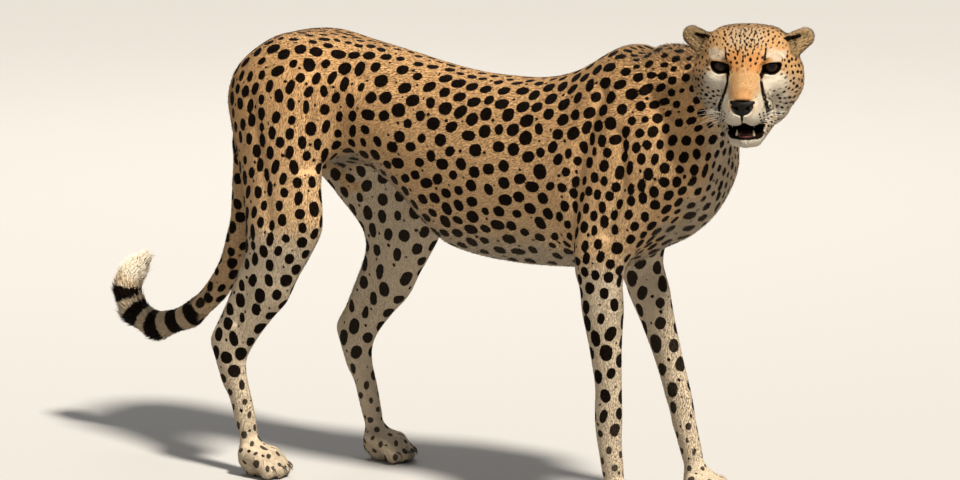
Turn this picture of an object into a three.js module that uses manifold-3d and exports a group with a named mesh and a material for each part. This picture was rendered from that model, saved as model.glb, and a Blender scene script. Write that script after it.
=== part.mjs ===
// A cheetah standing at life size, in millimetres.
// +X runs forward along the body, +Y is the animal's left and +Z is up. The paws stand on z = 0.
// The flesh is one blend of rounded forms (distance functions), meshed by surface nets and
// parted by thin plane cuts, so that each part of the body is a closed solid of its own.
import * as THREE from "three";
import { mergeVertices } from "three/addons/utils/BufferGeometryUtils.js";
import Module from "manifold-3d";

const wasm = await Module();
wasm.setup();

// ---------------------------------------------------------------- driving dimensions

const GAP = 0.4; // clear width of every cut
const SLIVER = 0.15; // edges shorter than this are merged after the cuts
const PINCH = 0.04; // how far touching corners are drawn apart
const KEPT = 0.151; // share of the meshed triangles that thinning leaves
const EYE_LINE = [503, -124, 769]; // midpoint between the eyes
const HEAD_TURN = -68; // degrees the face is turned from +X, to the animal's right
const EYE_SPACING = 78;
const EYE_RADIUS = 15.5;
const EAR = { centre: [-42, 77, 35], radii: [16, 23, 33], turn: [-1.0, 0, 0.3] }; // the left one
const EAR_CUP = { centre: [-30, 80, 39], radii: [13, 16.5, 25] };

// Joint centres of each side: x, distance from the midplane, z.
const JOINTS = {
  right: {
    shoulder: [348, 76, 590],
    elbow: [229, 98, 438],
    wrist: [250, 92, 158],
    knuckle: [257, 90, 48],
    hip: [-392, 76, 648],
    knee: [-336, 112, 442],
    hock: [-478, 110, 206],
    ball: [-440, 108, 46],
  },
  left: {
    shoulder: [336, 72, 590],
    elbow: [198, 84, 432],
    wrist: [289, 84, 168],
    knuckle: [318, 84, 48],
    hip: [-388, 76, 645],
    knee: [-228, 104, 424],
    hock: [-356, 102, 204],
    ball: [-316, 100, 46],
  },
};

// Trunk sections along the body: x, height of the back, height of the belly, half width.
const TRUNK = [
  [-484, 684, 596, 38],
  [-445, 734, 560, 70],
  [-385, 757, 540, 88],
  [-300, 756, 538, 93],
  [-250, 750, 526, 88],
  [-205, 742, 500, 86],
  [-160, 733, 454, 87],
  [-110, 722, 410, 90],
  [-50, 712, 396, 97],
  [60, 709, 390, 104],
  [120, 722, 392, 104],
  [185, 744, 398, 99],
  [255, 765, 412, 90],
  [325, 754, 454, 76],
  [378, 714, 526, 56],
];

// Centre line of the tail, with its radius at each point.
const TAIL = [
  [-440, 0, 708, 32],
  [-490, 0, 650, 29],
  [-519, 3, 560, 26],
  [-525, 9, 460, 25],
  [-544, 16, 375, 24],
  [-588, 27, 292, 24],
  [-656, 36, 232, 24],
  [-733, 42, 202, 24],
  [-788, 46, 224, 24],
  [-803, 48, 262, 23],
  [-792, 49, 298, 21],
  [-764, 50, 322, 16],
];

// ---------------------------------------------------------------- small vector helpers

const mix = (a, b, t) => a + (b - a) * t;
const clamp = (v, low, high) => Math.min(high, Math.max(low, v));
const dot = (a, b) => a[0] * b[0] + a[1] * b[1] + a[2] * b[2];
const minus = (a, b) => [a[0] - b[0], a[1] - b[1], a[2] - b[2]];
const along = (a, d, t) => [a[0] + d[0] * t, a[1] + d[1] * t, a[2] + d[2] * t];
const unit = (a) => along([0, 0, 0], a, 1 / Math.hypot(...a));
const between = (a, b, t) => a.map((v, i) => mix(v, b[i], t));

// Monotone cubic through (x, y) pairs: a smooth curve that never overshoots its points.
function smoothCurve(points, column) {
  const x = points.map((p) => p[0]);
  const y = points.map((p) => p[column]);
  const last = x.length - 1;
  const slope = x.slice(1).map((v, i) => (y[i + 1] - y[i]) / (v - x[i]));
  const tangent = x.map((_, i) => {
    if (i === 0) return slope[0];
    if (i === last) return slope[last - 1];
    const product = slope[i - 1] * slope[i];
    return product <= 0 ? 0 : (2 * product) / (slope[i - 1] + slope[i]);
  });
  return (at) => {
    const i = clamp(x.findIndex((v) => v > at) - 1, 0, last - 1);
    const k = at >= x[last] ? last - 1 : i;
    const h = x[k + 1] - x[k];
    const t = clamp((at - x[k]) / h, 0, 1);
    const rise = y[k + 1] - y[k];
    const bend = tangent[k] * h;
    const leave = tangent[k + 1] * h;
    return y[k] + bend * t + (3 * rise - 2 * bend - leave) * t * t + (bend + leave - 2 * rise) * t ** 3;
  };
}

// ---------------------------------------------------------------- distance functions

// A rod from a to b whose radius runs from ra to rb; flat < 1 thins it across the body (y).
function rod(a, b, ra, rb, flat = 1) {
  const d = minus(b, a);
  const length2 = dot(d, d);
  return (p) => {
    const q = minus(p, a);
    const t = clamp(dot(q, d) / length2, 0, 1);
    const away = Math.hypot(q[0] - d[0] * t, (q[1] - d[1] * t) / flat, q[2] - d[2] * t);
    return (away - mix(ra, rb, t)) * Math.min(flat, 1);
  };
}

function ellipsoid(c, r) {
  return (p) => {
    const q = minus(p, c);
    const k0 = Math.hypot(q[0] / r[0], q[1] / r[1], q[2] / r[2]);
    const k1 = Math.hypot(q[0] / r[0] ** 2, q[1] / r[1] ** 2, q[2] / r[2] ** 2);
    return k1 < 1e-9 ? -Math.min(...r) : (k0 * (k0 - 1)) / k1;
  };
}

// The barrel of the body: egg-shaped sections between the curves of TRUNK.
function barrel(sections) {
  const [top, bottom, half] = [1, 2, 3].map((column) => smoothCurve(sections, column));
  const [start, end] = [sections[0][0], sections[sections.length - 1][0]];
  const endRadius = 22;
  const eggShape = 0.1;
  return (p) => {
    const x = clamp(p[0], start, end);
    const height = (top(x) - bottom(x)) / 2;
    const v = (p[2] - bottom(x) - height) / height;
    const width = half(x) * (1 + eggShape * clamp(v, -1, 1));
    const r = Math.hypot(p[1] / width, v, (p[0] - x) / endRadius);
    return (r - 1) * Math.min(width, height);
  };
}

// Union of [distance, blend] pairs, each melting into those before it over its blend width.
function melt(forms) {
  return (p) => {
    let d = forms[0][0](p);
    for (const [form, blend] of forms.slice(1)) {
      const other = form(p);
      const h = Math.max(blend - Math.abs(d - other), 0) / blend;
      d = Math.min(d, other) - (h * h * blend) / 4;
    }
    return d;
  };
}

// A hollow cut out of a form, with its lip rounded over the blend width.
function hollow(form, cutter, blend) {
  return (p) => {
    const d = form(p);
    const other = -cutter(p);
    const h = Math.max(blend - Math.abs(d - other), 0) / blend;
    return Math.max(d, other) + (h * h * blend) / 4;
  };
}

// ---------------------------------------------------------------- the head's own frame

const turn = THREE.MathUtils.degToRad(HEAD_TURN);
const FACE = [Math.cos(turn), Math.sin(turn), 0];
const FACE_LEFT = [-Math.sin(turn), Math.cos(turn), 0];

// From the head's frame (x out of the face, y to its left, z up, 0 between the eyes) to the body's.
const fromHead = ([x, y, z]) => along(along(along(EYE_LINE, FACE, x), FACE_LEFT, y), [0, 0, 1], z);

function toHead(p) {
  const q = minus(p, EYE_LINE);
  return [dot(q, FACE), dot(q, FACE_LEFT), q[2]];
}

// ---------------------------------------------------------------- the flesh

const sided = (point, side) => [point[0], (side === "left" ? 1 : -1) * point[1], point[2]];

function foreleg(side) {
  const j = JOINTS[side];
  const s = (x, y, z) => sided([x, y, z], side);
  const at = (name) => sided(j[name], side);
  const bladeTop = s(262, 42, 722);
  const tricepsTop = s(252, 66, 640);
  const pointOfElbow = along(at("elbow"), [-30, 0, 14], 1);
  const forearmBelly = between(at("elbow"), at("wrist"), 0.3);
  return [
    [rod(bladeTop, at("shoulder"), 40, 50, 0.75), 40],
    [rod(at("shoulder"), at("elbow"), 53, 44, 0.82), 35],
    [rod(tricepsTop, pointOfElbow, 66, 25, 0.62), 40],
    [rod(at("elbow"), forearmBelly, 42, 37, 0.86), 18],
    [rod(forearmBelly, at("wrist"), 37, 25, 0.86), 18],
    [rod(along(at("wrist"), [-9, 0, 12], 1), at("knuckle"), 25, 22, 0.98), 16],
    [rod(along(at("wrist"), [-16, 0, 10], 1), along(at("wrist"), [-27, 0, -6], 1), 13, 10, 0.8), 14],
  ];
}

function hindLeg(side) {
  const j = JOINTS[side];
  const s = (x, y, z) => sided([x, y, z], side);
  const at = (name) => sided(j[name], side);
  const seat = s(-448, 56, 640);
  const heel = along(at("hock"), [-28, 0, 22], 1);
  const ham = along(at("knee"), [-62, 0, -14], 1);
  const calf = along(at("knee"), [-42, 0, -34], 1);
  const shin = along(between(at("knee"), at("hock"), 0.5), [14, 0, 0], 1);
  return [
    [rod(at("hip"), along(at("knee"), [-4, 0, 4], 1), 92, 47, 0.62), 45],
    [rod(seat, ham, 55, 45, 0.62), 40],
    [rod(calf, heel, 50, 19, 0.74), 22],
    [rod(at("knee"), shin, 42, 34, 0.76), 22],
    [rod(shin, at("hock"), 34, 27, 0.8), 18],
    [rod(at("hock"), at("ball"), 25, 21, 0.94), 16],
    [rod(heel, along(at("hock"), [-8, 0, -46], 1), 15, 16, 0.9), 16],
  ];
}

// Four toes spread from the ball of the foot, with the pads under them.
const TOES = [-1.5, -0.5, 0.5, 1.5];
const TOE_PITCH = 16;

function toeLine(ball, index) {
  const across = TOES[index] * TOE_PITCH;
  const ahead = Math.abs(TOES[index]) < 1 ? 10 : 0;
  return {
    root: along(ball, [4, across * 0.8, -6], 1),
    bend: along(ball, [30 + ahead, across, -13], 1),
    tip: along(ball, [50 + ahead, across * 1.08, -33], 1),
  };
}

function paw(ball) {
  const forms = [
    [ellipsoid(along(ball, [-2, 0, -22], 1), [30, 29, 25]), 18],
    [ellipsoid(along(ball, [14, 0, -36], 1), [24, 26, 15]), 12],
  ];
  TOES.forEach((_, index) => {
    const toe = toeLine(ball, index);
    forms.push([rod(toe.root, toe.bend, 16, 14), index === 0 ? 10 : 6]);
    forms.push([rod(toe.bend, toe.tip, 14, 13.5), 6]);
  });
  return forms;
}

const trunkForms = [
  [barrel(TRUNK), 1],
  [ellipsoid([-372, 48, 684], [92, 52, 66]), 40],
  [ellipsoid([-372, -48, 684], [92, 52, 66]), 40],
  [ellipsoid([326, 0, 552], [64, 60, 78]), 50],
];

const neckForms = [
  [rod([262, 0, 686], [428, -8, 724], 83, 50), 50],
  [rod([428, -8, 724], fromHead([-88, 0, -26]), 50, 44), 30],
  [rod([334, 0, 592], [380, -28, 700], 78, 52), 50],
];

const HEAD_HALF = [
  // [from, to, radius there, radius here, blend] on the head's left; the right mirrors it
  [[-30, 26, -14], [-46, 40, -30], 44, 46, 22],
  [[-52, 44, 14], [-56, 50, -10], 30, 34, 24],
  [[-6, 33, 15], [-34, 40, 26], 13, 20, 16],
  [[-10, 50, -20], [-52, 56, -26], 18, 20, 16],
  [[46, 17, -66], [26, 24, -58], 19.5, 22, 14],
  [[-38, 30, 30], [-64, 32, 28], 28, 29, 18],
];

function headForms() {
  const forms = [
    [ellipsoid([-52, 0, 0], [72, 64, 58]), 30],
    [rod([-12, 0, -14], [48, 0, -46], 34, 21), 20],
    [rod([-6, 0, -34], [46, 0, -62], 36, 25), 20],
    [rod([0, 0, 2], [62, 0, -40], 15, 13), 14],
  ];
  for (const side of [1, -1])
    for (const [a, b, ra, rb, blend] of HEAD_HALF)
      forms.push([rod([a[0], a[1] * side, a[2]], [b[0], b[1] * side, b[2]], ra, rb), blend]);
  return forms;
}

function jawForms() {
  const forms = [[rod([47, 0, -112], [20, 0, -109], 11, 16), 12]];
  for (const side of [1, -1]) {
    forms.push([rod([-44, 36 * side, -72], [34, 15 * side, -110], 22, 12), 14]);
    forms.push([rod([-60, 34 * side, -52], [-44, 36 * side, -72], 30, 24), 20]);
  }
  return forms;
}

const mouthGap = melt([
  [ellipsoid([42, 0, -94], [46, 29, 11]), 1],
  [ellipsoid([64, 0, -96], [28, 34, 11.5]), 8],
]);
const eyeHollows = melt([
  [ellipsoid([9, EYE_SPACING / 2, 1], [15, 15, 10]), 1],
  [ellipsoid([9, -EYE_SPACING / 2, 1], [15, 15, 10]), 1],
]);
const headSolid = hollow(hollow(melt([...headForms(), ...jawForms()]), eyeHollows, 8), mouthGap, 5);
const headField = (p) => headSolid(toHead(p));

const neckAndTrunk = melt([...trunkForms, ...neckForms]);
const headOnNeck = melt([[headField, 1], [neckAndTrunk, 30]]);

const legFields = {};
for (const side of ["right", "left"]) {
  legFields[`fore_${side}`] = [...foreleg(side), ...paw(sided(JOINTS[side].knuckle, side))];
  legFields[`hind_${side}`] = [...hindLeg(side), ...paw(sided(JOINTS[side].ball, side))];
}

const tailForms = TAIL.slice(1).map((end, i) => {
  const start = TAIL[i];
  return [rod(start.slice(0, 3), end.slice(0, 3), start[3], end[3]), 14];
});
const tailField = melt(tailForms);

const bodyField = melt([
  ...trunkForms,
  ...neckForms,
  ...Object.values(legFields).flatMap((forms) => forms.slice(0, 3)),
  [headField, 30],
  [rod(TAIL[0].slice(0, 3), TAIL[1].slice(0, 3), TAIL[0][3], TAIL[1][3]), 40],
]);

// ---------------------------------------------------------------- meshing

function solid(positions, triangles) {
  const mesh = new wasm.Mesh({
    numProp: 3,
    vertProperties: Float32Array.from(positions),
    triVerts: Uint32Array.from(triangles),
  });
  return new wasm.Manifold(mesh);
}

function geometrySolid(geometry) {
  const bare = geometry.index ? geometry.toNonIndexed() : geometry.clone();
  bare.deleteAttribute("normal");
  bare.deleteAttribute("uv");
  const merged = mergeVertices(bare, 1e-3);
  return solid(merged.attributes.position.array, merged.index.array);
}

// Slides a point onto the field's surface, moving at most one cell.
function settle(field, start, step) {
  const e = step * 0.05;
  let p = start;
  for (let round = 0; round < 3; round++) {
    const d = field(p);
    const slope = [0, 1, 2].map((i) => {
      const shift = [0, 0, 0];
      shift[i] = e;
      return (field(along(p, shift, 1)) - field(along(p, shift, -1))) / (2 * e);
    });
    const steep = dot(slope, slope);
    if (steep < 1e-6) break;
    p = along(p, slope, -d / Math.max(steep, 0.25));
  }
  const move = minus(p, start);
  const far = Math.hypot(...move) / (0.9 * step);
  return far > 1 ? along(start, move, 1 / far) : p;
}

// How far a point lies from the planes of the given faces, squared and weighted by area.
function bump(point, faces, planes) {
  let sum = 0;
  for (const f of faces) sum += planes[f].area * (dot(planes[f].normal, point) - planes[f].offset) ** 2;
  return sum;
}

function facePlane([a, b, c]) {
  const [u, v] = [minus(b, a), minus(c, a)];
  const cross = [u[1] * v[2] - u[2] * v[1], u[2] * v[0] - u[0] * v[2], u[0] * v[1] - u[1] * v[0]];
  const area = Math.hypot(...cross) / 2;
  const normal = along([0, 0, 0], cross, 1 / (2 * area + 1e-12));
  return { area, normal, offset: dot(normal, a) };
}

// Thins a closed mesh to KEPT of its triangles, in rounds that merge the ends of the edges whose
// loss shows least. Merged points go back onto the surface.
function thinned(positions, triangles, toSurface) {
  const points = [];
  for (let i = 0; i < positions.length; i += 3) points.push(positions.slice(i, i + 3));
  let faces = [];
  for (let i = 0; i < triangles.length; i += 3) faces.push(triangles.slice(i, i + 3));
  const target = faces.length * KEPT;
  const shareOfRound = 0.2;
  const lengthWeight = 0.004;
  const leastTurn = 0.5; // cosine of the most that a face may tilt

  while (faces.length > target) {
    const planes = faces.map((face) => facePlane(face.map((i) => points[i])));
    const around = points.map(() => []);
    faces.forEach((face, f) => face.forEach((i) => around[i].push(f)));
    const ringOf = (i) => new Set(around[i].flatMap((f) => faces[f]));
    const edges = [];
    faces.forEach(([a, b, c]) => {
      for (const [i, j] of [[a, b], [b, c], [c, a]]) {
        if (i > j) continue;
        const middle = between(points[i], points[j], 0.5);
        const length = Math.hypot(...minus(points[i], points[j]));
        const cost = bump(middle, [...around[i], ...around[j]], planes) + lengthWeight * length ** 4;
        edges.push({ i, j, middle, cost });
      }
    });
    edges.sort((a, b) => a.cost - b.cost);

    const mostMerges = Math.min(edges.length * shareOfRound, (faces.length - target) / 2);
    const settled = new Set();
    const mergedInto = new Map();
    for (const { i, j, middle } of edges) {
      if (mergedInto.size >= mostMerges) break;
      const [ringI, ringJ] = [ringOf(i), ringOf(j)];
      const ring = new Set([...ringI, ...ringJ]);
      if ([...ring].some((v) => settled.has(v))) continue;
      if ([...ringI].filter((v) => ringJ.has(v)).length !== 4) continue;
      const moved = toSurface(middle);
      const turned = [...around[i], ...around[j]].some((f) => {
        if (faces[f].includes(i) && faces[f].includes(j)) return false;
        const after = facePlane(faces[f].map((v) => (v === i || v === j ? moved : points[v])));
        return dot(after.normal, planes[f].normal) < leastTurn;
      });
      if (turned) continue;
      points[i] = moved;
      mergedInto.set(j, i);
      ring.forEach((v) => settled.add(v));
    }
    if (mergedInto.size === 0) break;
    faces = faces.map((face) => face.map((v) => mergedInto.get(v) ?? v));
    faces = faces.filter(([a, b, c]) => a !== b && b !== c && c !== a);
  }

  const order = [...new Set(faces.flat())];
  const place = new Map(order.map((v, i) => [v, i]));
  return [order.flatMap((v) => points[v]), faces.flat().map((v) => place.get(v))];
}

// Closed mesh of field < 0 inside the box low..high, by surface nets on a grid of the given step.
function meshField(field, low, high, step) {
  const middle = low.map((v, i) => (v + high[i]) / 2);
  const half = low.map((v, i) => (high[i] - v) / 2);
  const boxed = (p) => Math.max(field(p), ...p.map((v, i) => Math.abs(v - middle[i]) - half[i]));
  const origin = low.map((v) => v - 1.37 * step);
  const size = low.map((v, i) => Math.ceil((high[i] - v) / step) + 4);
  const place = (i, j, k) => [origin[0] + i * step, origin[1] + j * step, origin[2] + k * step];
  const slot = (i, j, k) => i + size[0] * (j + size[1] * k);
  const values = new Float64Array(size[0] * size[1] * size[2]);
  for (let k = 0; k < size[2]; k++)
    for (let j = 0; j < size[1]; j++)
      for (let i = 0; i < size[0]; i++) values[slot(i, j, k)] = boxed(place(i, j, k));

  const positions = [];
  const triangles = [];
  const vertexOf = new Int32Array(values.length).fill(-1);
  const corners = [0, 1, 2, 3, 4, 5, 6, 7].map((c) => [c & 1, (c >> 1) & 1, c >> 2]);
  const edges = [];
  for (let a = 0; a < 8; a++) for (const bit of [1, 2, 4]) if (!(a & bit)) edges.push([a, a | bit]);

  for (let k = 0; k + 1 < size[2]; k++)
    for (let j = 0; j + 1 < size[1]; j++)
      for (let i = 0; i + 1 < size[0]; i++) {
        const v = corners.map(([x, y, z]) => values[slot(i + x, j + y, k + z)]);
        let crossings = 0;
        let sum = [0, 0, 0];
        for (const [a, b] of edges) {
          if (v[a] < 0 === v[b] < 0) continue;
          const t = v[a] / (v[a] - v[b]);
          sum = along(sum, between(corners[a], corners[b], t), 1);
          crossings += 1;
        }
        if (crossings === 0) continue;
        const local = sum.map((c) => c / crossings);
        const start = place(i + local[0], j + local[1], k + local[2]);
        vertexOf[slot(i, j, k)] = positions.length / 3;
        positions.push(...settle(boxed, start, step));
      }

  const spread = (a, b) =>
    Math.hypot(...[0, 1, 2].map((i) => positions[3 * a + i] - positions[3 * b + i]));
  const quad = (a, b, c, d) => {
    if (spread(a, c) < spread(b, d)) triangles.push(a, b, c, a, c, d);
    else triangles.push(b, c, d, b, d, a);
  };
  for (let k = 1; k + 1 < size[2]; k++)
    for (let j = 1; j + 1 < size[1]; j++)
      for (let i = 1; i + 1 < size[0]; i++) {
        const inside = values[slot(i, j, k)] < 0;
        const steps = [[1, 0, 0], [0, 1, 0], [0, 0, 1]];
        for (let axis = 0; axis < 3; axis++) {
          const [dx, dy, dz] = steps[axis];
          if (inside === values[slot(i + dx, j + dy, k + dz)] < 0) continue;
          const [ux, uy, uz] = steps[(axis + 1) % 3];
          const [vx, vy, vz] = steps[(axis + 2) % 3];
          const ring = [
            vertexOf[slot(i, j, k)],
            vertexOf[slot(i - ux, j - uy, k - uz)],
            vertexOf[slot(i - ux - vx, j - uy - vy, k - uz - vz)],
            vertexOf[slot(i - vx, j - vy, k - vz)],
          ];
          if (inside) quad(...ring);
          else quad(...ring.reverse());
        }
      }
  return solid(...thinned(positions, triangles, (p) => settle(boxed, p, step)));
}

// ---------------------------------------------------------------- cuts

// A cut plane: its flesh side is behind the normal.
const plane = (point, normal) => ({ normal: unit(normal), offset: dot(point, unit(normal)) });
const flipped = ({ normal, offset }) => ({ normal: normal.map((v) => -v), offset: -offset });

// What lies behind every plane, kept half a gap away from each.
function behind(body, planes, spare = GAP / 2) {
  return planes.reduce(
    (left, { normal, offset }) => left.trimByPlane(normal.map((v) => -v), spare - offset),
    body,
  );
}

const everything = geometrySolid(new THREE.BoxGeometry(2600, 2600, 2600));
const cellOf = (planes) => behind(everything, planes, -GAP / 2);

function largest(body) {
  const pieces = body.decompose();
  return pieces.reduce((a, b) => (a.volume() > b.volume() ? a : b));
}

const FLOOR = plane([0, 0, 0], [0, 0, -1]);

// Where the legs part from the trunk. A slant runs between two heights: [y, z, y, z].
const LEG_CUTS = {
  fore: { inner: 50, slant: [50, 385, 82, 640], top: 652, back: 150, front: 440 },
  hind: { inner: 40, slant: [42, 470, 66, 700], top: 712 },
};
// The front of each thigh: a point of the cut, and its normal.
const FLANK_CUTS = {
  left: [[-176, 0, 700], [1, 0, 0.02]],
  right: [[-222, 0, 700], [1, 0, -0.16]],
};

function legCells(side) {
  const sign = side === "left" ? 1 : -1;
  const common = ({ inner, slant: [y0, z0, y1, z1], top }) => [
    plane([0, sign * inner, 0], [0, -sign, 0]),
    plane([0, sign * y0, z0], [0, -sign * (z1 - z0), y1 - y0]),
    plane([0, 0, top], [0, 0, 1]),
  ];
  const foreLimits = [
    ...common(LEG_CUTS.fore),
    plane([LEG_CUTS.fore.back, 0, 0], [-1, 0, 0]),
    plane([LEG_CUTS.fore.front, 0, 0], [1, 0, 0]),
  ];
  return { fore: foreLimits, hind: [...common(LEG_CUTS.hind), plane(...FLANK_CUTS[side])] };
}

const cells = { right: legCells("right"), left: legCells("left") };
const neckCut = plane([350, 0, 690], [-0.62, 0, -0.78]);
const headCut = plane(fromHead([-92, 0, 0]), along(along([0, 0, 0], FACE, -0.9), [0, 0, 1], -0.44));
const tailCut = plane(TAIL[1].slice(0, 3), [0.72, 0, 0.69]);
const loinCut = plane([-232, 0, 0], [1, 0, 0]);
const chestCut = plane([62, 0, 0], [1, 0, 0]);

// ---------------------------------------------------------------- colours

const material = (color, roughness = 0.9) =>
  new THREE.MeshStandardMaterial({ color, roughness, metalness: 0 });
const GOLD = 0xc9995c;
const SAND = 0xd6b487;
const PALE = 0xdccbb0;
const BLACK = 0x1c1815;

const cheetah = new THREE.Group();

// Draws apart the corners that share a place without sharing a surface, each into its own flesh.
function unpinched(positions, triangles) {
  const inward = new Map();
  for (let t = 0; t < triangles.length; t += 3) {
    const corners = [0, 1, 2].map((c) => triangles[t + c]);
    const { area, normal } = facePlane(corners.map((i) => [...positions.subarray(3 * i, 3 * i + 3)]));
    for (const i of corners) inward.set(i, along(inward.get(i) ?? [0, 0, 0], normal, -area));
  }
  const places = new Map();
  for (let i = 0; i * 3 < positions.length; i++) {
    const key = [0, 1, 2].map((c) => positions[3 * i + c].toFixed(2)).join(" ");
    places.set(key, [...(places.get(key) ?? []), i]);
  }
  for (const group of places.values()) {
    if (group.length === 1) continue;
    for (const i of group) {
      const push = unit(inward.get(i));
      for (let c = 0; c < 3; c++) positions[3 * i + c] += push[c] * PINCH;
    }
  }
  return positions;
}

function addPart(name, body, look) {
  const { vertProperties, triVerts } = body.simplify(SLIVER).getMesh();
  const geometry = new THREE.BufferGeometry();
  const positions = unpinched(Float32Array.from(vertProperties), triVerts);
  geometry.setAttribute("position", new THREE.BufferAttribute(positions, 3));
  geometry.setIndex(new THREE.BufferAttribute(new Uint32Array(triVerts), 1));
  const mesh = new THREE.Mesh(geometry, look);
  mesh.name = name;
  cheetah.add(mesh);
}

// ---------------------------------------------------------------- trunk and neck

// Steps of the grids that the flesh is meshed on.
const STEP = { trunk: 22, neck: 17, upperLeg: 19, lowerLeg: 14, paw: 9.5, tail: 14, head: 6.5 };
const legBlocks = ["right", "left"].flatMap((side) =>
  ["fore", "hind"].map((end) => cellOf(cells[side][end])),
);
const tailBlock = cellOf([
  tailCut,
  plane([0, 46, 0], [0, 1, 0]),
  plane([0, -46, 0], [0, -1, 0]),
  plane([0, 0, 480], [0, 0, -1]),
]);

const without = (body, blocks) => blocks.reduce((left, block) => left.subtract(block), body);
const trunkMesh = meshField(bodyField, [-520, -190, 340], [480, 190, 800], STEP.trunk);
const trunk = behind(without(trunkMesh, [...legBlocks, tailBlock]), [flipped(neckCut)]);
addPart("pelvis", largest(behind(trunk, [loinCut])), material(GOLD));
addPart("loin", largest(behind(trunk, [flipped(loinCut), chestCut])), material(GOLD));
addPart("chest", largest(behind(trunk, [flipped(chestCut)])), material(GOLD));

const neckMesh = meshField(bodyField, [280, -150, 480], [560, 130, 860], STEP.neck);
const neck = behind(without(neckMesh, legBlocks), [neckCut, flipped(headCut)]);
addPart("neck", largest(neck), material(SAND));

// ---------------------------------------------------------------- legs

const CLAW_LENGTH = 15;

// A claw: a short curved spike, as tapered slices along an arc that hooks down.
function clawSolid(root, size, grow) {
  const slices = 3;
  const sides = 6;
  const sweep = 1.1; // angle of the arc, in radians
  const thickness = 0.2;
  const flatness = 0.75;
  const positions = [];
  const triangles = [];
  for (let n = 0; n < slices; n++) {
    const t = n / slices;
    const angle = t * sweep;
    const centre = along(root, [Math.sin(angle), 0, Math.cos(angle) - 1], size);
    const radius = thickness * size * (1 - t) ** 0.7 + grow;
    for (let s = 0; s < sides; s++) {
      const around = (s / sides) * 2 * Math.PI;
      const out = radius * Math.cos(around);
      const wide = radius * flatness * Math.sin(around);
      positions.push(...along(centre, [Math.sin(angle) * out, wide, Math.cos(angle) * out], 1));
    }
  }
  positions.push(...along(root, [Math.sin(sweep), 0, Math.cos(sweep) - 1], size + grow));
  positions.push(...along(root, [-1, 0, 0], grow + 0.01));
  const tip = slices * sides;
  for (let s = 0; s < sides; s++) {
    const next = (s + 1) % sides;
    triangles.push(tip + 1, s, next);
    for (let n = 0; n + 1 < slices; n++) {
      const [a, b] = [n * sides + s, n * sides + next];
      triangles.push(a, a + sides, b, b, a + sides, b + sides);
    }
    triangles.push((slices - 1) * sides + s, tip, (slices - 1) * sides + next);
  }
  const body = solid(positions, triangles);
  return body.volume() < 0 ? solid(positions, triangles.reverse()) : body;
}

// Each leg's joints from the top, the box that holds its upper part, how far its upper cut lies
// below the joint above the shaft, and the names and colours of its parts.
const LEGS = {
  fore: {
    joints: ["shoulder", "elbow", "wrist", "knuckle"],
    upperReach: [190, 90, 200],
    upperCut: 34,
    names: ["foreleg_upper", "foreleg_lower", "forepaw"],
    colour: SAND,
  },
  hind: {
    joints: ["hip", "knee", "hock", "ball"],
    upperReach: [210, 110, 220],
    upperCut: 46,
    names: ["thigh", "shank", "hind_paw"],
    colour: GOLD,
  },
};
const ANKLE_CUT = 22; // the paw's cut, below the wrist or hock
const SHAFT_REACH = [70, 60, 60];
const PAW_REACH = [100, 58, 12];

function addLeg(end, side) {
  const { joints, upperReach, upperCut: below, names, colour } = LEGS[end];
  const [head, top, middle, ball] = joints.map((name) => sided(JOINTS[side][name], side));
  const field = melt([...trunkForms, ...legFields[`${end}_${side}`]]);
  const limits = cells[side][end];
  const shaft = unit(minus(middle, top));
  const instep = unit(minus(ball, middle));
  const upperCut = plane(along(top, shaft, below), shaft);
  const lowerCut = plane(along(middle, instep, ANKLE_CUT), instep);
  const [upperName, lowerName, pawName] = names.map((name) => `${name}_${side}`);

  const hub = between(head, top, 0.5);
  const upper = meshField(field, minus(hub, upperReach), along(hub, upperReach, 1), STEP.upperLeg);
  addPart(upperName, largest(behind(upper, [...limits, upperCut])), material(colour));

  const lowerLow = minus([Math.min(top[0], middle[0]), top[1], middle[2]], SHAFT_REACH);
  const lowerHigh = along([Math.max(top[0], middle[0]), top[1], top[2]], SHAFT_REACH, 1);
  const lower = meshField(field, lowerLow, lowerHigh, STEP.lowerLeg);
  addPart(lowerName, largest(behind(lower, [...limits, flipped(upperCut), lowerCut])), material(SAND));

  const pawLow = minus([ball[0], ball[1], 0], PAW_REACH);
  const pawHigh = along([ball[0], ball[1], middle[2] + ANKLE_CUT], PAW_REACH, 1);
  let foot = meshField(field, pawLow, pawHigh, STEP.paw);
  foot = largest(behind(behind(foot, [...limits, flipped(lowerCut)]), [FLOOR], 0));
  const clawRoots = TOES.map((_, index) => along(toeLine(ball, index).tip, [4, 0, 7], 1));
  clawRoots.forEach((root, index) => {
    foot = foot.subtract(clawSolid(root, CLAW_LENGTH, GAP));
    addPart(`claw_${end}_${side}_${index + 1}`, clawSolid(root, CLAW_LENGTH, 0), material(BLACK, 0.4));
  });
  addPart(pawName, largest(foot), material(PALE));
}

for (const side of ["right", "left"]) for (const end of ["fore", "hind"]) addLeg(end, side);

// ---------------------------------------------------------------- tail

const TAIL_CUTS = [4, 7];
const tailMesh = meshField(tailField, [-850, -60, 130], [-400, 100, 760], STEP.tail);
const tailPlanes = TAIL_CUTS.map((index) => {
  const [before, here, after] = TAIL.slice(index - 1, index + 2).map((p) => p.slice(0, 3));
  return plane(here, minus(after, before));
});
const tailBody = behind(tailMesh, [tailCut]);
addPart("tail_base", largest(behind(tailBody, [tailPlanes[0]])), material(GOLD));
const tailMiddle = behind(tailBody, [flipped(tailPlanes[0]), tailPlanes[1]]);
addPart("tail_middle", largest(tailMiddle), material(SAND));
addPart("tail_tip", largest(behind(tailBody, [flipped(tailPlanes[1])])), material(PALE));

// ---------------------------------------------------------------- head

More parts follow.
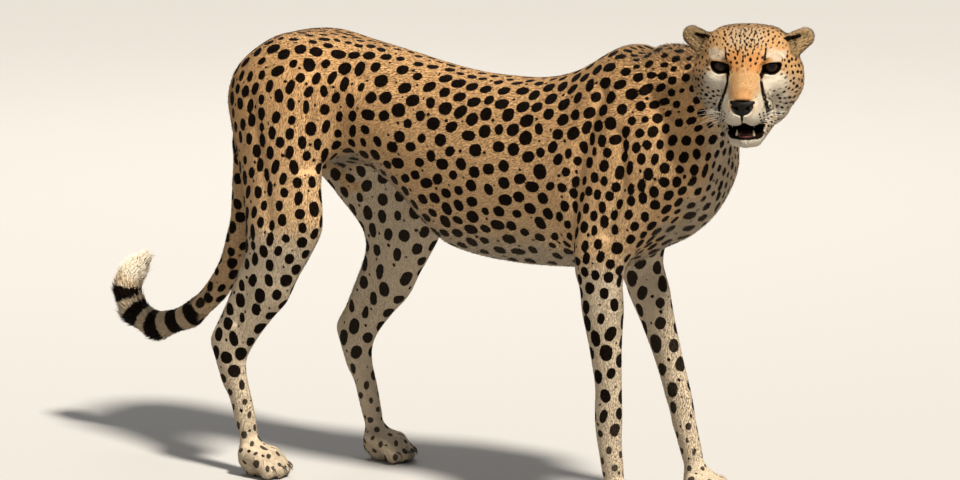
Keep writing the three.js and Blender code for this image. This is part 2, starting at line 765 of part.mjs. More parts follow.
const headPlace = new THREE.Matrix4().set(
  FACE[0], FACE_LEFT[0], 0, EYE_LINE[0],
  FACE[1], FACE_LEFT[1], 0, EYE_LINE[1],
  0, 0, 1, EYE_LINE[2],
  0, 0, 0, 1,
);

// A stretched ball placed in the head's frame, turned about the head's own axes.
const UPRIGHT = [0, 0, 0];

function headBall(centre, radii, grow = 0, turns = UPRIGHT, segments = 12) {
  const ball = new THREE.SphereGeometry(1, segments, Math.round(segments * 0.7));
  ball.rotateX(Math.PI / 2);
  ball.scale(...radii.map((r) => r + grow));
  ball.applyMatrix4(new THREE.Matrix4().makeRotationFromEuler(new THREE.Euler(...turns)));
  ball.translate(...centre);
  ball.applyMatrix4(headPlace);
  return geometrySolid(ball);
}

function headCone(tip, root, radius) {
  const direction = new THREE.Vector3(...minus(tip, root));
  const length = direction.length();
  const upright = new THREE.Vector3(0, 1, 0);
  const cone = new THREE.ConeGeometry(radius, length, 8);
  cone.translate(0, length / 2, 0);
  cone.applyQuaternion(new THREE.Quaternion().setFromUnitVectors(upright, direction.normalize()));
  cone.translate(...root);
  cone.applyMatrix4(headPlace);
  return geometrySolid(cone);
}

const mirrorY = ([x, y, z], side) => [x, y * side, z];
const headLow = minus(EYE_LINE, [190, 150, 150]);
const headHigh = along(EYE_LINE, [120, 200, 100], 1);
let head = behind(meshField(headOnNeck, headLow, headHigh, STEP.head), [headCut]);

// The jaw parts from the head through the open mouth, and at the hinge behind it.
const jawPlanes = [
  plane(fromHead([62, 0, -94]), along(along([0, 0, 0], FACE, 0.2), [0, 0, 1], 0.98)),
  plane(fromHead([-44, 0, -80]), along([0, 0, 0], FACE, -1)),
];
let jaw = largest(behind(head, jawPlanes));
head = largest(head.subtract(cellOf(jawPlanes)));

for (const [name, side] of [["left", 1], ["right", -1]]) {
  const eyeCentre = [-9, (EYE_SPACING / 2) * side, 0];
  const eyeball = [EYE_RADIUS, EYE_RADIUS, EYE_RADIUS];
  head = head.subtract(headBall(eyeCentre, eyeball, GAP));
  addPart(`eye_${name}`, headBall(eyeCentre, eyeball), material(0x3a2312, 0.1));

  const earCentre = mirrorY(EAR.centre, side);
  const earTurn = EAR.turn.map((angle) => angle * side);
  const cup = headBall(mirrorY(EAR_CUP.centre, side), EAR_CUP.radii, 0, earTurn, 10);
  const ear = headBall(earCentre, EAR.radii, 0, earTurn).subtract(cup);
  head = head.subtract(headBall(earCentre, EAR.radii, GAP, earTurn));
  addPart(`ear_${name}`, largest(ear), material(SAND));
}

const nosePlace = [[64, 0, -54], [13, 22, 15]];
const nose = headBall(...nosePlace, 0, UPRIGHT, 10);
head = head.subtract(headBall(...nosePlace, GAP, UPRIGHT, 10));
addPart("nose", nose, material(BLACK, 0.45));

// The canine teeth on the left: tip, root and radius there. The right ones mirror them.
const UPPER_CANINE = [[50, 14, -92], [48, 15, -76], 4];
const LOWER_CANINE = [[55, 12.5, -90], [50, 12.5, -106], 3.6];
for (const side of [1, -1]) {
  const canine = ([tip, root, radius]) => headCone(mirrorY(tip, side), mirrorY(root, side), radius);
  head = head.add(canine(UPPER_CANINE));
  jaw = jaw.add(canine(LOWER_CANINE));
}
addPart("head", largest(head), material(GOLD));

const tonguePlace = [[18, 0, -101], [34, 15, 6]];
jaw = jaw.subtract(headBall(...tonguePlace, GAP, UPRIGHT, 10));
addPart("jaw", largest(jaw), material(PALE));
addPart("tongue", headBall(...tonguePlace, 0, UPRIGHT, 10), material(0xb06a62, 0.6));

// The origin goes to the middle of the box's foot, between the paws.
const box = new THREE.Box3().setFromObject(cheetah);
const middle = box.getCenter(new THREE.Vector3());
cheetah.position.set(-middle.x, -middle.y, 0);

export default cheetah;
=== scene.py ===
import math

import bpy
import numpy as np
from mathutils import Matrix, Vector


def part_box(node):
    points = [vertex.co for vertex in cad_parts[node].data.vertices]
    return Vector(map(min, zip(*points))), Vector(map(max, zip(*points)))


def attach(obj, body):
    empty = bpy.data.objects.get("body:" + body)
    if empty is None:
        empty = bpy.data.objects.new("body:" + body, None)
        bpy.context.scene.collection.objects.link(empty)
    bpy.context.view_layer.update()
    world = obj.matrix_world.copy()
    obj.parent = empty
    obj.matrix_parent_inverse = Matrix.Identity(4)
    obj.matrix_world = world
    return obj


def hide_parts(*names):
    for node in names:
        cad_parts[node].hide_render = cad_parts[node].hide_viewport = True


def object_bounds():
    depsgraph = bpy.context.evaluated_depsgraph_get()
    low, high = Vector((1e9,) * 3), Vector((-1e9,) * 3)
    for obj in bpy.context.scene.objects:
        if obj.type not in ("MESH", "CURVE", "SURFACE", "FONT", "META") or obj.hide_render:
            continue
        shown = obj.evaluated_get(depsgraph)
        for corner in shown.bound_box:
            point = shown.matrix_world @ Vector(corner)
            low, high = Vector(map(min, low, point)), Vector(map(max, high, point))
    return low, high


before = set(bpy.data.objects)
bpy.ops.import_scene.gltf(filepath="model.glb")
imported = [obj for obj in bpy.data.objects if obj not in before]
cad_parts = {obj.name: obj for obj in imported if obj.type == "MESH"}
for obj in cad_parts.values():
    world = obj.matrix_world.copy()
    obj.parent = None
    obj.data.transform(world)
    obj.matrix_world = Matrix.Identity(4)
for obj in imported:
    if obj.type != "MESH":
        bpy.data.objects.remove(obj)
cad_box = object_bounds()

import openvdb
from mathutils import Vector
from mathutils.kdtree import KDTree

rng = np.random.default_rng(7)
MM = 0.001

# ---- driving dimensions

BASE_STEP = 4.0  # grid of the body's distance field
SKIN_STEP = 3.8  # mesh size of the skin on the body
HEAD_STEP = 1.7  # and on the head
PAW_STEP = 2.6  # and, upwards, on the paws
BAND = 8  # grid steps of distance kept on each side of the surface
CLOSING = 1.0  # what the flesh grows by to close the CAD's thin cuts
SKIN_INSET = 1.2  # depth of the skin under the smoothed flesh
FACE_INSET = 1.6  # and under the head's own forms

EYE_RADIUS = 15.5
EYE_DEPTH = 9.0  # from the head's origin back to the eyes' centres

COAT_PIECES = 7
TUFTS_PER_PIECE = 47000
TUFT_PATCH = 0.003  # width of a tuft on the coat's map
LOWEST_HAIR = 0.3  # above the floor
SOLE_HEIGHT = 0.6  # of the flat under each paw

# ---- the frame's places


def box_mm(node):
    low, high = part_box(node)
    return np.array(low) / MM, np.array(high) / MM


def centre(node):
    low, high = box_mm(node)
    return (low + high) / 2


middle_y = centre("pelvis")[1]
NODES = sorted(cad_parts)
SEPARATE = ("claw", "eye", "nose", "tongue")
FLESH = [name for name in NODES if not name.startswith(SEPARATE)]

eye_left = centre("eye_left")
eye_right = centre("eye_right")
HEAD_LEFT = (eye_left - eye_right) / np.linalg.norm(eye_left - eye_right)
HEAD_FACE = np.array([HEAD_LEFT[1], -HEAD_LEFT[0], 0.0])
HEAD_FACE /= np.linalg.norm(HEAD_FACE)
HEAD_UP = np.cross(HEAD_FACE, HEAD_LEFT)
HEAD_AXES = np.stack([HEAD_FACE, HEAD_LEFT, HEAD_UP])
HEAD_ORIGIN = (eye_left + eye_right) / 2 + HEAD_FACE * EYE_DEPTH
EYE_SIDE = np.linalg.norm(eye_left - eye_right) / 2


def to_head(points):
    """From the frame to the head's own axes: out of the face, to its left and up."""
    return (points - HEAD_ORIGIN) @ HEAD_AXES.T


def from_head(points):
    return np.asarray(points, float) @ HEAD_AXES + HEAD_ORIGIN


# ---- small maths


def smooth(low, high, value):
    t = np.clip((value - low) / (high - low), 0, 1)
    return t * t * (3 - 2 * t)


def mix(a, b, t):
    return a + (b - a) * t


def unit(vectors):
    return vectors / np.maximum(np.linalg.norm(vectors, axis=-1, keepdims=True), 1e-9)


def grid_points(axes):
    return np.stack(np.meshgrid(*axes, indexing="ij"), -1)


def rowdot(a, b):
    return np.einsum("...i,...i->...", a, b)


def tree_of(points):
    tree = KDTree(len(points))
    for index, point in enumerate(points):
        tree.insert(point, index)
    tree.balance()
    return tree


def nearest_in(tree, points):
    """The index of the tree's point that is nearest to each given point."""
    return np.array([tree.find(point)[1] for point in points])


# ---- distance forms


def rod(p, a, b, ra, rb):
    """Distance to a rod from a to b whose radius runs from ra to rb."""
    a = np.asarray(a, np.float32)
    d = np.asarray(b, np.float32) - a
    q = p - a
    t = np.clip(q @ d / (d @ d), 0, 1)
    return np.linalg.norm(q - t[..., None] * d, axis=-1) - (ra + (rb - ra) * t)


def ball(p, centre_point, radii):
    """Distance to an ellipsoid."""
    q = p - np.asarray(centre_point, np.float32)
    radii = np.asarray(radii, np.float32)
    k0 = np.linalg.norm(q / radii, axis=-1)
    k1 = np.linalg.norm(q / radii**2, axis=-1)
    return k0 * (k0 - 1) / np.maximum(k1, 1e-6)


def melt(d, other, blend):
    h = np.maximum(blend - np.abs(d - other), 0) / blend
    return np.minimum(d, other) - h * h * blend / 4


def carve(d, cutter, blend):
    return -melt(-d, cutter, blend)


def segment_distance(u, v, a, b):
    """Distance in a plane from points (u, v) to the segment a-b, and the share gone along it."""
    du, dv = b[0] - a[0], b[1] - a[1]
    t = np.clip(((u - a[0]) * du + (v - a[1]) * dv) / (du * du + dv * dv), 0, 1)
    return np.hypot(u - a[0] - t * du, v - a[1] - t * dv), t


# ---- the body's field


def gather(names):
    """The vertices and triangles of CAD nodes, in millimetres, with each vertex's node."""
    points, triangles, owner, count = [], [], [], 0
    for index, name in enumerate(names):
        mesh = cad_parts[name].data
        co = np.empty(len(mesh.vertices) * 3, np.float32)
        mesh.vertices.foreach_get("co", co)
        mesh.calc_loop_triangles()
        corners = np.empty(len(mesh.loop_triangles) * 3, np.int32)
        mesh.loop_triangles.foreach_get("vertices", corners)
        points.append(co.reshape(-1, 3) / np.float32(MM))
        triangles.append(corners.reshape(-1, 3) + count)
        owner.append(np.full(len(points[-1]), index))
        count += len(points[-1])
    return np.concatenate(points), np.concatenate(triangles).astype(np.uint32), np.concatenate(owner)


def blurred(field, sigma):
    """Gaussian blur of a grid, sigma in grid steps."""
    radius = math.ceil(2.4 * sigma)
    offsets = np.arange(-radius, radius + 1)
    weights = np.exp(-(offsets**2) / (2 * sigma**2))
    weights /= weights.sum()
    for axis in range(3):
        padding = [(radius, radius) if a == axis else (0, 0) for a in range(3)]
        padded = np.moveaxis(np.pad(field, padding, mode="edge"), axis, 0)
        count = field.shape[axis]
        total = padded[0:count] * np.float32(weights[0])
        for k in range(1, len(weights)):
            total += padded[k : k + count] * np.float32(weights[k])
        field = np.moveaxis(total, 0, axis)
    return np.ascontiguousarray(field)


def flesh_field():
    """Signed distance to the CAD's flesh on a plain grid, and the grid's first index."""
    soft = [name for name in FLESH if not name.startswith(("jaw", "ear"))]
    points, triangles, _ = gather(soft)
    transform = openvdb.createLinearTransform(voxelSize=BASE_STEP)
    parted = openvdb.FloatGrid.createLevelSetFromPolygons(
        points, triangles=triangles, transform=transform, halfWidth=3.0
    )
    joined_points, joined_quads = parted.convertToQuads(CLOSING)
    joined = openvdb.FloatGrid.createLevelSetFromPolygons(
        joined_points, quads=joined_quads, transform=transform, exBandWidth=BAND, inBandWidth=BAND
    )
    low, high = (np.array(corner) / MM / BASE_STEP for corner in cad_box)
    first = np.floor(low).astype(int) - BAND
    last = np.ceil(high).astype(int) + BAND
    field = np.empty(tuple(last - first), np.float32)
    joined.copyToArray(field, ijk=tuple(int(v) for v in first))
    return field + np.float32(CLOSING), first


# Blur that turns the CAD's facets into flesh: [grid steps added, thickness where it takes over].
BLURS = [[1.3, 0.0], [1.6, 0.9], [2.3, 2.2], [3.0, 4.5]]


def smoothed_flesh():
    """The flesh with its facets smoothed away, more where the body is thick, and the paws kept."""
    field, first = flesh_field()
    thickness = blurred(np.clip(-field, 0, BASE_STEP * BAND), 5.0)
    level = field
    result = None
    for steps, takes_over in BLURS:
        level = blurred(level, steps)
        if result is None:
            result = level.copy()
        else:
            result += (level - result) * smooth(takes_over, takes_over * 1.8, thickness)
    return result, first


def graded(low, high, coarse, zones):
    """Grid lines from low to high, coarse apart, closing to a zone's own step near the zone."""
    widening = 0.12
    lines = [low]
    while lines[-1] < high:
        here = lines[-1]
        steps = [coarse]
        for zone_low, zone_high, step in zones:
            steps.append(step + widening * max(zone_low - here, here - zone_high, 0))
        lines.append(here + min(steps))
    return np.array(lines)


def resampled(field, first, lines):
    """A plain grid's values at the crossings of the graded lines."""
    for axis in range(3):
        at = np.clip(lines[axis] / BASE_STEP - first[axis], 0, field.shape[axis] - 1.001)
        lower = np.floor(at).astype(int)
        share = (at - lower).astype(np.float32)
        share = share.reshape([-1 if a == axis else 1 for a in range(3)])
        below = np.take(field, lower, axis)
        field = below + (np.take(field, lower + 1, axis) - below) * share
    return field


# ---- the head's field

SIDES = (1, -1)  # the head's left, then its right
EYE_TILT = 0.12  # how far the eyes look outwards
LENS = {"round": 14.6, "drop": 4.4, "lid": 6.6, "slope": 0.15}  # the eye's opening
MOUTH_SHIFT = 3.5  # the open jaw hangs a little to the left
MOUTH_MIDDLE = -98.0  # height of the parted lips
MOUTH_BACK = -16.0  # how far back the mouth's cavity goes
MOUTH_BOWL = 0.055  # how fast its back wall comes forward to the sides
NOSE_DROP = 2.5  # how much lower the nose pad sits than it is written below

# Each ear is a flat leaf from base to tip, hollowed by a smaller leaf in front of it.
EAR = {"base": (-42, 58, 22), "tip": (-44, 89, 42), "radii": (22.0, 15.5)}
EAR_CUP = {"base": (-30, 61, 24), "tip": (-31, 87, 41), "radii": (17.0, 11.0)}
EAR_FACING = (0.95, 0.3, 0.0)  # the way its thin side looks
EAR_FLATNESS = 1.55  # how many times thinner it is that way


def sided(point, side):
    return (point[0], point[1] * side, point[2])


def leaf(p, form, side):
    """Distance to the ear's leaf, or its hollow, on one side of the head."""
    base = np.array(sided(form["base"], side), np.float32)
    facing = np.array(sided(EAR_FACING, side), np.float32)
    q = p - base
    q = q + (q @ facing)[..., None] * facing * np.float32(EAR_FLATNESS - 1)
    tip = np.array(sided(form["tip"], side)) - base
    return rod(q, (0, 0, 0), tip, *form["radii"]) / math.sqrt(EAR_FLATNESS)


def skull(p):
    """The head without its mouth, eyes and ears."""
    d = ball(p, (-52, 0, 0), (72, 64, 58))
    d = melt(d, rod(p, (-12, 0, -14), (48, 0, -46), 34, 21), 20)
    d = melt(d, rod(p, (-6, 0, -34), (46, 0, -62), 36, 25), 20)
    d = melt(d, rod(p, (0, 0, 2), (60, 0, -40), 15, 13), 14)
    d = melt(d, rod(p, (-40, 0, -78), (6, 0, -96), 28, 19), 14)
    for side in SIDES:
        for a, b, ra, rb, blend in (
            ((-30, 26, -14), (-46, 40, -30), 44, 46, 22),
            ((-52, 44, 14), (-56, 50, -10), 30, 34, 24),
            ((-6, 33, 15), (-34, 40, 26), 13, 20, 16),
            ((-10, 50, -20), (-52, 56, -26), 18, 20, 16),
            ((46, 16, -66), (26, 24, -58), 19.5, 22, 12),
            ((-60, 34, -52), (-44, 36, -72), 30, 24, 20),
            ((-38, 30, 30), (-64, 32, 28), 27, 28, 18),
            ((-32, 10, 36), (-62, 10, 36), 18, 20, 16),
        ):
            d = melt(d, rod(p, sided(a, side), sided(b, side), ra, rb), blend)
        chin = (34, 15 * side + MOUTH_SHIFT, -110)
        d = melt(d, rod(p, sided((-44, 36, -72), side), chin, 22, 12.5), 14)
    return melt(d, rod(p, (47, MOUTH_SHIFT, -112), (20, MOUTH_SHIFT, -109), 11, 16), 12)


def eye_centre(side):
    return np.array([-EYE_DEPTH, EYE_SIDE * side, 0.0])


def eye_opening(p, side):
    """Distance, seen along the eye's own gaze, to the outline of the open lids."""
    q = p - eye_centre(side).astype(np.float32)
    across = q[..., 1] * side - EYE_TILT * q[..., 0]
    up = q[..., 2]
    disc = np.hypot(across, up - LENS["drop"]) - LENS["round"]
    lid = up - LENS["lid"] - LENS["slope"] * across + 0.012 * across**2
    d = -melt(-disc, -lid, 4)
    t = np.clip((across + 9) / -8.0, 0, 1)
    corner = np.hypot(across + 9 + 8 * t, up + 4 + 6 * t) - (3.4 - 2.0 * t)
    return melt(d, corner, 4)


def mouth_opening(p):
    """Distance to the parted lips' outline, seen from the front."""
    across = np.abs(p[..., 1] - MOUTH_SHIFT)
    up = p[..., 2] - MOUTH_MIDDLE
    arch = 7.5 * np.exp(-((across / 8) ** 2))
    wide = across - (25.0 + 0.45 * up)
    tall = np.maximum(up - 9 - arch, -5 - up)
    rounding = 5
    return np.maximum(wide, tall) * 0.5 + np.hypot(
        np.maximum(wide + rounding, 0), np.maximum(tall + rounding, 0)
    ) * 0.5 - rounding * 0.5


def head_field(p):
    """Signed distance to the head's skin, in the head's own axes."""
    d = skull(p) + FACE_INSET
    for side in SIDES:
        eye = eye_centre(side)
        away = np.linalg.norm(p - eye.astype(np.float32), axis=-1)
        d = carve(d, ball(p, eye + (22, 2 * side, -1), (17, 18, 13)), 9)
        d = melt(d, away - (EYE_RADIUS + 2.0), 6)
        d = melt(d, rod(p, eye + (11, -15 * side, 11), eye + (8, 14 * side, 12), 3.2, 3.6), 7)
        opening = eye_opening(p, side)
        deep = np.maximum(opening, (EYE_RADIUS - 1.5) - away)
        d = carve(d, np.maximum(deep, eye[0] - p[..., 0]), 1.4)
        cheek = rod(p, sided((20, 22, -40), side), sided((36, 33, -62), side), 3, 3)
        d = carve(d, cheek + 4.5, 6)
        d = melt(d, ball(p, sided((52, 14, -71), side), (17, 15, 13)), 7)
        d = melt(d, carve(leaf(p, EAR, side), leaf(p, EAR_CUP, side), 4), 7)
    d = melt(d, ball(p, (60, 0, -62), (12, 15, 12)), 6)
    d = carve(d, ball(p, (70, 0, -55), (9, 20, 13)), 2)
    philtrum = rod(p, (71, 0, -70), (66, 0, -84), 1.6, 1.8)
    d = carve(d, philtrum, 3)
    back = MOUTH_BACK + MOUTH_BOWL * (p[..., 1] - MOUTH_SHIFT) ** 2
    mouth = np.maximum(mouth_opening(p), back - p[..., 0])
    d = carve(d, mouth, 3.5)
    return d


# ---- the skin


FEET = [(end, side) for end in ("fore", "hind") for side in ("right", "left")]


def claw_names(end, side):
    return [f"claw_{end}_{side}_{n}" for n in (1, 2, 3, 4)]


def paw_forms():
    """Toes and pads placed by the claws: (start, end, start radius, end radius) of each rod."""
    rods = []
    for foot in FEET:
        names = claw_names(*foot)
        middle = sum(centre(name) for name in names) / 4
        for name in names:
            claw = centre(name)
            across = claw[1] - middle[1]
            tip = np.array([box_mm(name)[0][0] - 5.0, claw[1], 13.6])
            bend = tip + (-20, -across * 0.07, 19)
            root = tip + (-48, -across * 0.26, 26)
            rods.append((root, bend, 13.5, 12.2))
            rods.append((bend, tip, 12.2, 12.0))
        pad = middle + (-46, 0, 0)
        pad[2] = 13.0
        rods.append((pad + (-8, 0, 0), pad + (10, 0, 0), 21, 17))
    return rods


# Hollows between the muscles, pressed in from each side: (x, z) points, half width and depth.
TRUNK_HOLLOWS = [
    ([(431, 712), (468, 655), (498, 600)], 14, 6),
    ([(349, 700), (320, 600), (306, 500), (298, 430)], 16, 8),
    ([(-150, 694), (60, 676), (270, 690)], 13, 2.5),
]
RIGHT_HOLLOWS = TRUNK_HOLLOWS + [
    ([(-200, 704), (-200, 620), (-202, 540)], 11, 7),
    ([(-172, 700), (-166, 620), (-158, 548)], 30, 9),
    ([(505, 560), (455, 475), (424, 430)], 13, 6),
    ([(392, 640), (402, 560), (378, 480)], 12, 5),
    ([(-300, 650), (-276, 540), (-256, 440)], 12, 3.5),
    ([(-302, 330), (-316, 300), (-336, 266)], 10, 3.5),
]
LEFT_HOLLOWS = TRUNK_HOLLOWS + [
    ([(-169, 700), (-119, 620), (-72, 545)], 20, 9),
    ([(493, 560), (440, 475), (396, 430)], 12, 4),
    ([(384, 640), (388, 560), (350, 480)], 11, 3),
    ([(-300, 650), (-240, 530), (-180, 430)], 12, 3.5),
    ([(-176, 330), (-190, 300), (-212, 266)], 10, 3.5),
]


def pressed_depth(x, z, hollows):
    """How deep the hollows press one side of the body in, over a plane grid of x and z."""
    x, z = np.meshgrid(x, z, indexing="ij")
    depth = np.zeros(x.shape)
    for points, half_width, deep in hollows:
        away = np.full(x.shape, np.inf)
        for a, b in zip(points, points[1:]):
            away = np.minimum(away, segment_distance(x, z, a, b)[0])
        depth += deep * np.exp(-((away / half_width) ** 2))
    return depth.astype(np.float32)


def skin_field():
    """The skin's distance field on a graded grid, and the grid's lines."""
    flesh, first = smoothed_flesh()
    low, high = (np.array(corner) / MM for corner in cad_box)
    margin = 9.0
    reach = 122.0  # of the head's own form, from the middle of the skull
    head_low = np.minimum(HEAD_ORIGIN - (95, 70, 128), high)
    head_high = HEAD_ORIGIN + (95, 155, 80)
    lines = [
        graded(low[0] - margin, high[0] + margin, SKIN_STEP, [(head_low[0], head_high[0], HEAD_STEP)]),
        graded(low[1] - margin, high[1] + margin, SKIN_STEP, [(low[1], head_high[1], HEAD_STEP)]),
        graded(
            -margin,
            high[2] + margin,
            SKIN_STEP,
            [(head_low[2], high[2], HEAD_STEP), (0, 45, PAW_STEP)],
        ),
    ]
    field = resampled(flesh, first, lines) + np.float32(SKIN_INSET)
    left_share = smooth(middle_y - 20, middle_y + 20, lines[1])[None, :, None].astype(np.float32)
    field += pressed_depth(lines[0], lines[2], LEFT_HOLLOWS)[:, None, :] * left_share
    field += pressed_depth(lines[0], lines[2], RIGHT_HOLLOWS)[:, None, :] * (1 - left_share)

    span = [np.searchsorted(lines[a], HEAD_ORIGIN[a] + np.array([-150, 150])) for a in range(3)]
    span[0][0], span[1][1] = np.searchsorted(lines[0], head_low[0] - 60), len(lines[1])
    part = tuple(slice(start, stop) for start, stop in span)
    p = to_head(grid_points([lines[a][part[a]] for a in range(3)])).astype(np.float32)
    own = head_field(p)
    away = np.linalg.norm(p + np.float32([40, 0, 30]), axis=-1)
    # Here the CAD's coarser head sinks under the finer one, and behind it the neck melts into it.
    hidden = smooth(-108, -62, p[..., 0]) * smooth(reach + 40, reach, away)
    field[part] = melt(field[part] + 14 * hidden, own, 22 - 16 * hidden)

    paw_top = 80
    ground = np.searchsorted(lines[2], paw_top)
    near = grid_points([lines[0], lines[1], lines[2][:ground]]).astype(np.float32)
    low_part = field[:, :, :ground]
    for a, b, ra, rb in paw_forms():
        sx, sy = (
            slice(*np.searchsorted(lines[k], [min(a[k], b[k]) - 40, max(a[k], b[k]) + 40])) for k in (0, 1)
        )
        low_part[sx, sy] = melt(low_part[sx, sy], rod(near[sx, sy], a, b, ra, rb), 5)
    low_part[:] = np.maximum(low_part, SOLE_HEIGHT - near[..., 2])
    return field, lines


def meshed(field, lines):
    """The field's surface: vertices in millimetres and quads that face outwards."""
    limit = 7.0
    clipped = np.clip(field, -limit, limit).astype(np.float32)
    grid = openvdb.FloatGrid(limit)
    grid.copyFromArray(clipped)
    points, quads = grid.convertToQuads(0.0)
    mapped = [np.interp(points[:, a], np.arange(len(lines[a])), lines[a]) for a in range(3)]
    return np.stack(mapped, -1), quads.astype(np.int64)


def face_normals(points, quads):
    """A vector along each face's normal, twice as long as the face's area."""
    return np.cross(points[quads[:, 2]] - points[quads[:, 0]], points[quads[:, 3]] - points[quads[:, 1]])


def corner_sums(vectors, quads, count):
    """Adds each face's vector to its four vertices."""
    total = np.zeros((count, 3))
    for corner in range(4):
        for axis in range(3):
            total[:, axis] += np.bincount(quads[:, corner], vectors[:, axis], count)
    return total


def vertex_slopes(values):
    """The direction in which values rise over the skin at each vertex, and how steeply."""
    corners = skin_points[skin_quads]
    ahead, beside = corners[:, 2] - corners[:, 0], corners[:, 3] - corners[:, 1]
    rise = np.stack(
        [
            values[skin_quads[:, 2]] - values[skin_quads[:, 0]],
            values[skin_quads[:, 3]] - values[skin_quads[:, 1]],
            np.zeros(len(skin_quads)),
        ],
        1,
    )
    frames = np.stack([ahead, beside, np.cross(ahead, beside)], 1)
    slopes = np.linalg.solve(frames, rise[..., None])[..., 0]
    faces_at_vertex = np.bincount(skin_quads.ravel(), minlength=len(skin_points))
    return corner_sums(slopes, skin_quads, len(skin_points)) / faces_at_vertex[:, None]


def largest_part(points, quads):
    """Drops whatever isn't joined to the biggest piece of the surface."""
    label = np.arange(len(points))
    while True:
        best = label[quads].min(1)
        new = label.copy()
        for corner in range(4):
            np.minimum.at(new, quads[:, corner], best)
        new = np.minimum(new, new[new])
        if (new == label).all():
            break
        label = new
    values, counts = np.unique(label[quads[:, 0]], return_counts=True)
    keep = label[quads[:, 0]] == values[counts.argmax()]
    used, packed = np.unique(quads[keep], return_inverse=True)
    return points[used], packed.reshape(-1, 4)


def spread(values, quads, rounds):
    """Evens out values over the surface by averaging each vertex with its neighbours."""
    count = len(values)
    flat = values.reshape(count, -1).astype(float)
    weight = np.bincount(quads.ravel(), minlength=count)
    weight = np.maximum(weight, 1)[:, None]
    for _ in range(rounds):
        mean = flat[quads].mean(1)
        total = np.empty_like(flat)
        for column in range(flat.shape[1]):
            total[:, column] = np.bincount(quads.ravel(), np.repeat(mean[:, column], 4), count)
        flat = total / weight
    return flat.reshape(values.shape)


field, lines = skin_field()
skin_points, skin_quads = meshed(field, lines)
del field
skin_points, skin_quads = largest_part(skin_points, skin_quads)
skin_normals = unit(corner_sums(face_normals(skin_points, skin_quads), skin_quads, len(skin_points)))
print("skin", len(skin_points), len(skin_quads))

cad_points, _, cad_owner = gather(FLESH)
owner = cad_owner[nearest_in(tree_of(cad_points), skin_points)]
skin_tree = tree_of(skin_points)


def belongs(*prefixes):
    """1 at the skin vertices nearest to a node whose name starts so, else 0."""
    wanted = [FLESH.index(name) for name in FLESH if name.startswith(prefixes)]
    return np.isin(owner, wanted).astype(float)


on_head = spread(belongs("head", "jaw", "ear"), skin_quads, 6)
on_neck = spread(belongs("neck"), skin_quads, 30)
on_fore = spread(belongs("fore"), skin_quads, 14)
on_hind = spread(belongs("thigh", "shank", "hind"), skin_quads, 14)
on_tail = spread(belongs("tail"), skin_quads, 10)
on_right = belongs(*(name for name in FLESH if name.endswith("right")))
on_leg = np.clip(on_fore + on_hind, 0, 1)
leg_share = smooth(0.3, 0.8, on_leg)
tail_share = smooth(0.3, 0.8, on_tail)

head_points = to_head(skin_points)
head_normals = skin_normals @ HEAD_AXES.T

# ---- the lie of the coat


def tail_line():
    """Points down the middle of the tail, from its root to its tip."""
    points = skin_points[on_tail > 0.5]
    here = points[points[:, 2].argmax()]
    line = []
    stride = 22.0
    width = 36.0
    heading = np.array([-0.3, 0.0, -1.0])
    for _ in range(80):
        close = points[np.linalg.norm(points - here, axis=1) < width]
        if len(close) < 6:
            break
        middle = close.mean(0)
        if line and (middle - line[-1]) @ heading < stride / 2:
            break
        line.append(middle)
        if len(line) > 1:
            heading = unit(mix(heading, unit(line[-1] - line[-2]), 0.6))
        here = middle + heading * stride
    line.append(line[-1] + heading * stride / 2)
    return np.array(line)


def along_line(points, line):
    """How far along a polyline each given point is, the line's direction there, and its length."""
    lengths = np.linalg.norm(np.diff(line, axis=0), axis=1)
    gone = np.concatenate([[0], np.cumsum(lengths)])
    best = np.full(len(points), np.inf)
    where = np.zeros(len(points))
    heading = np.zeros((len(points), 3))
    for n, length in enumerate(lengths):
        d = (line[n + 1] - line[n]) / length
        t = np.clip((points - line[n]) @ d, 0, length)
        away = np.linalg.norm(points - line[n] - t[:, None] * d, axis=1)
        closer = away < best
        best[closer] = away[closer]
        where[closer] = gone[n] + t[closer]
        heading[closer] = d
    return where, heading, gone[-1]


tail_gone, tail_heading, tail_length = along_line(skin_points, tail_line())


def along_skin(vectors):
    """What is left of each skin vertex's vector when the part along the normal is taken away."""
    return vectors - skin_normals * rowdot(vectors, skin_normals)[:, None]


def lie_field():
    """The way the coat lies at each skin vertex, as a unit tangent."""
    nose = np.array([72.0, 0.0, -50.0])
    crown = to_head(skin_points) - nose
    head_flow = unit(crown) @ HEAD_AXES
    neck_axis = centre("chest") - HEAD_ORIGIN
    body = np.array([-1.0, 0.0, -0.28])
    leg = np.array([-0.16, 0.0, -1.0])
    flow = np.tile(body, (len(skin_points), 1))
    flow = mix(flow, unit(neck_axis), smooth(0, 1, on_neck)[:, None])
    flow = mix(flow, leg, smooth(0.2, 0.9, on_leg)[:, None])
    flow = mix(flow, tail_heading, smooth(0.2, 0.8, on_tail)[:, None])
    flow = mix(flow, head_flow, smooth(0.1, 0.8, on_head)[:, None])
    flow = along_skin(spread(unit(flow), skin_quads, 10))
    flow = unit(spread(unit(flow), skin_quads, 4))
    return unit(along_skin(flow))


lie = lie_field()

# ---- markings

UNMARKED = -6.0  # the depth inside a black mark where there is none

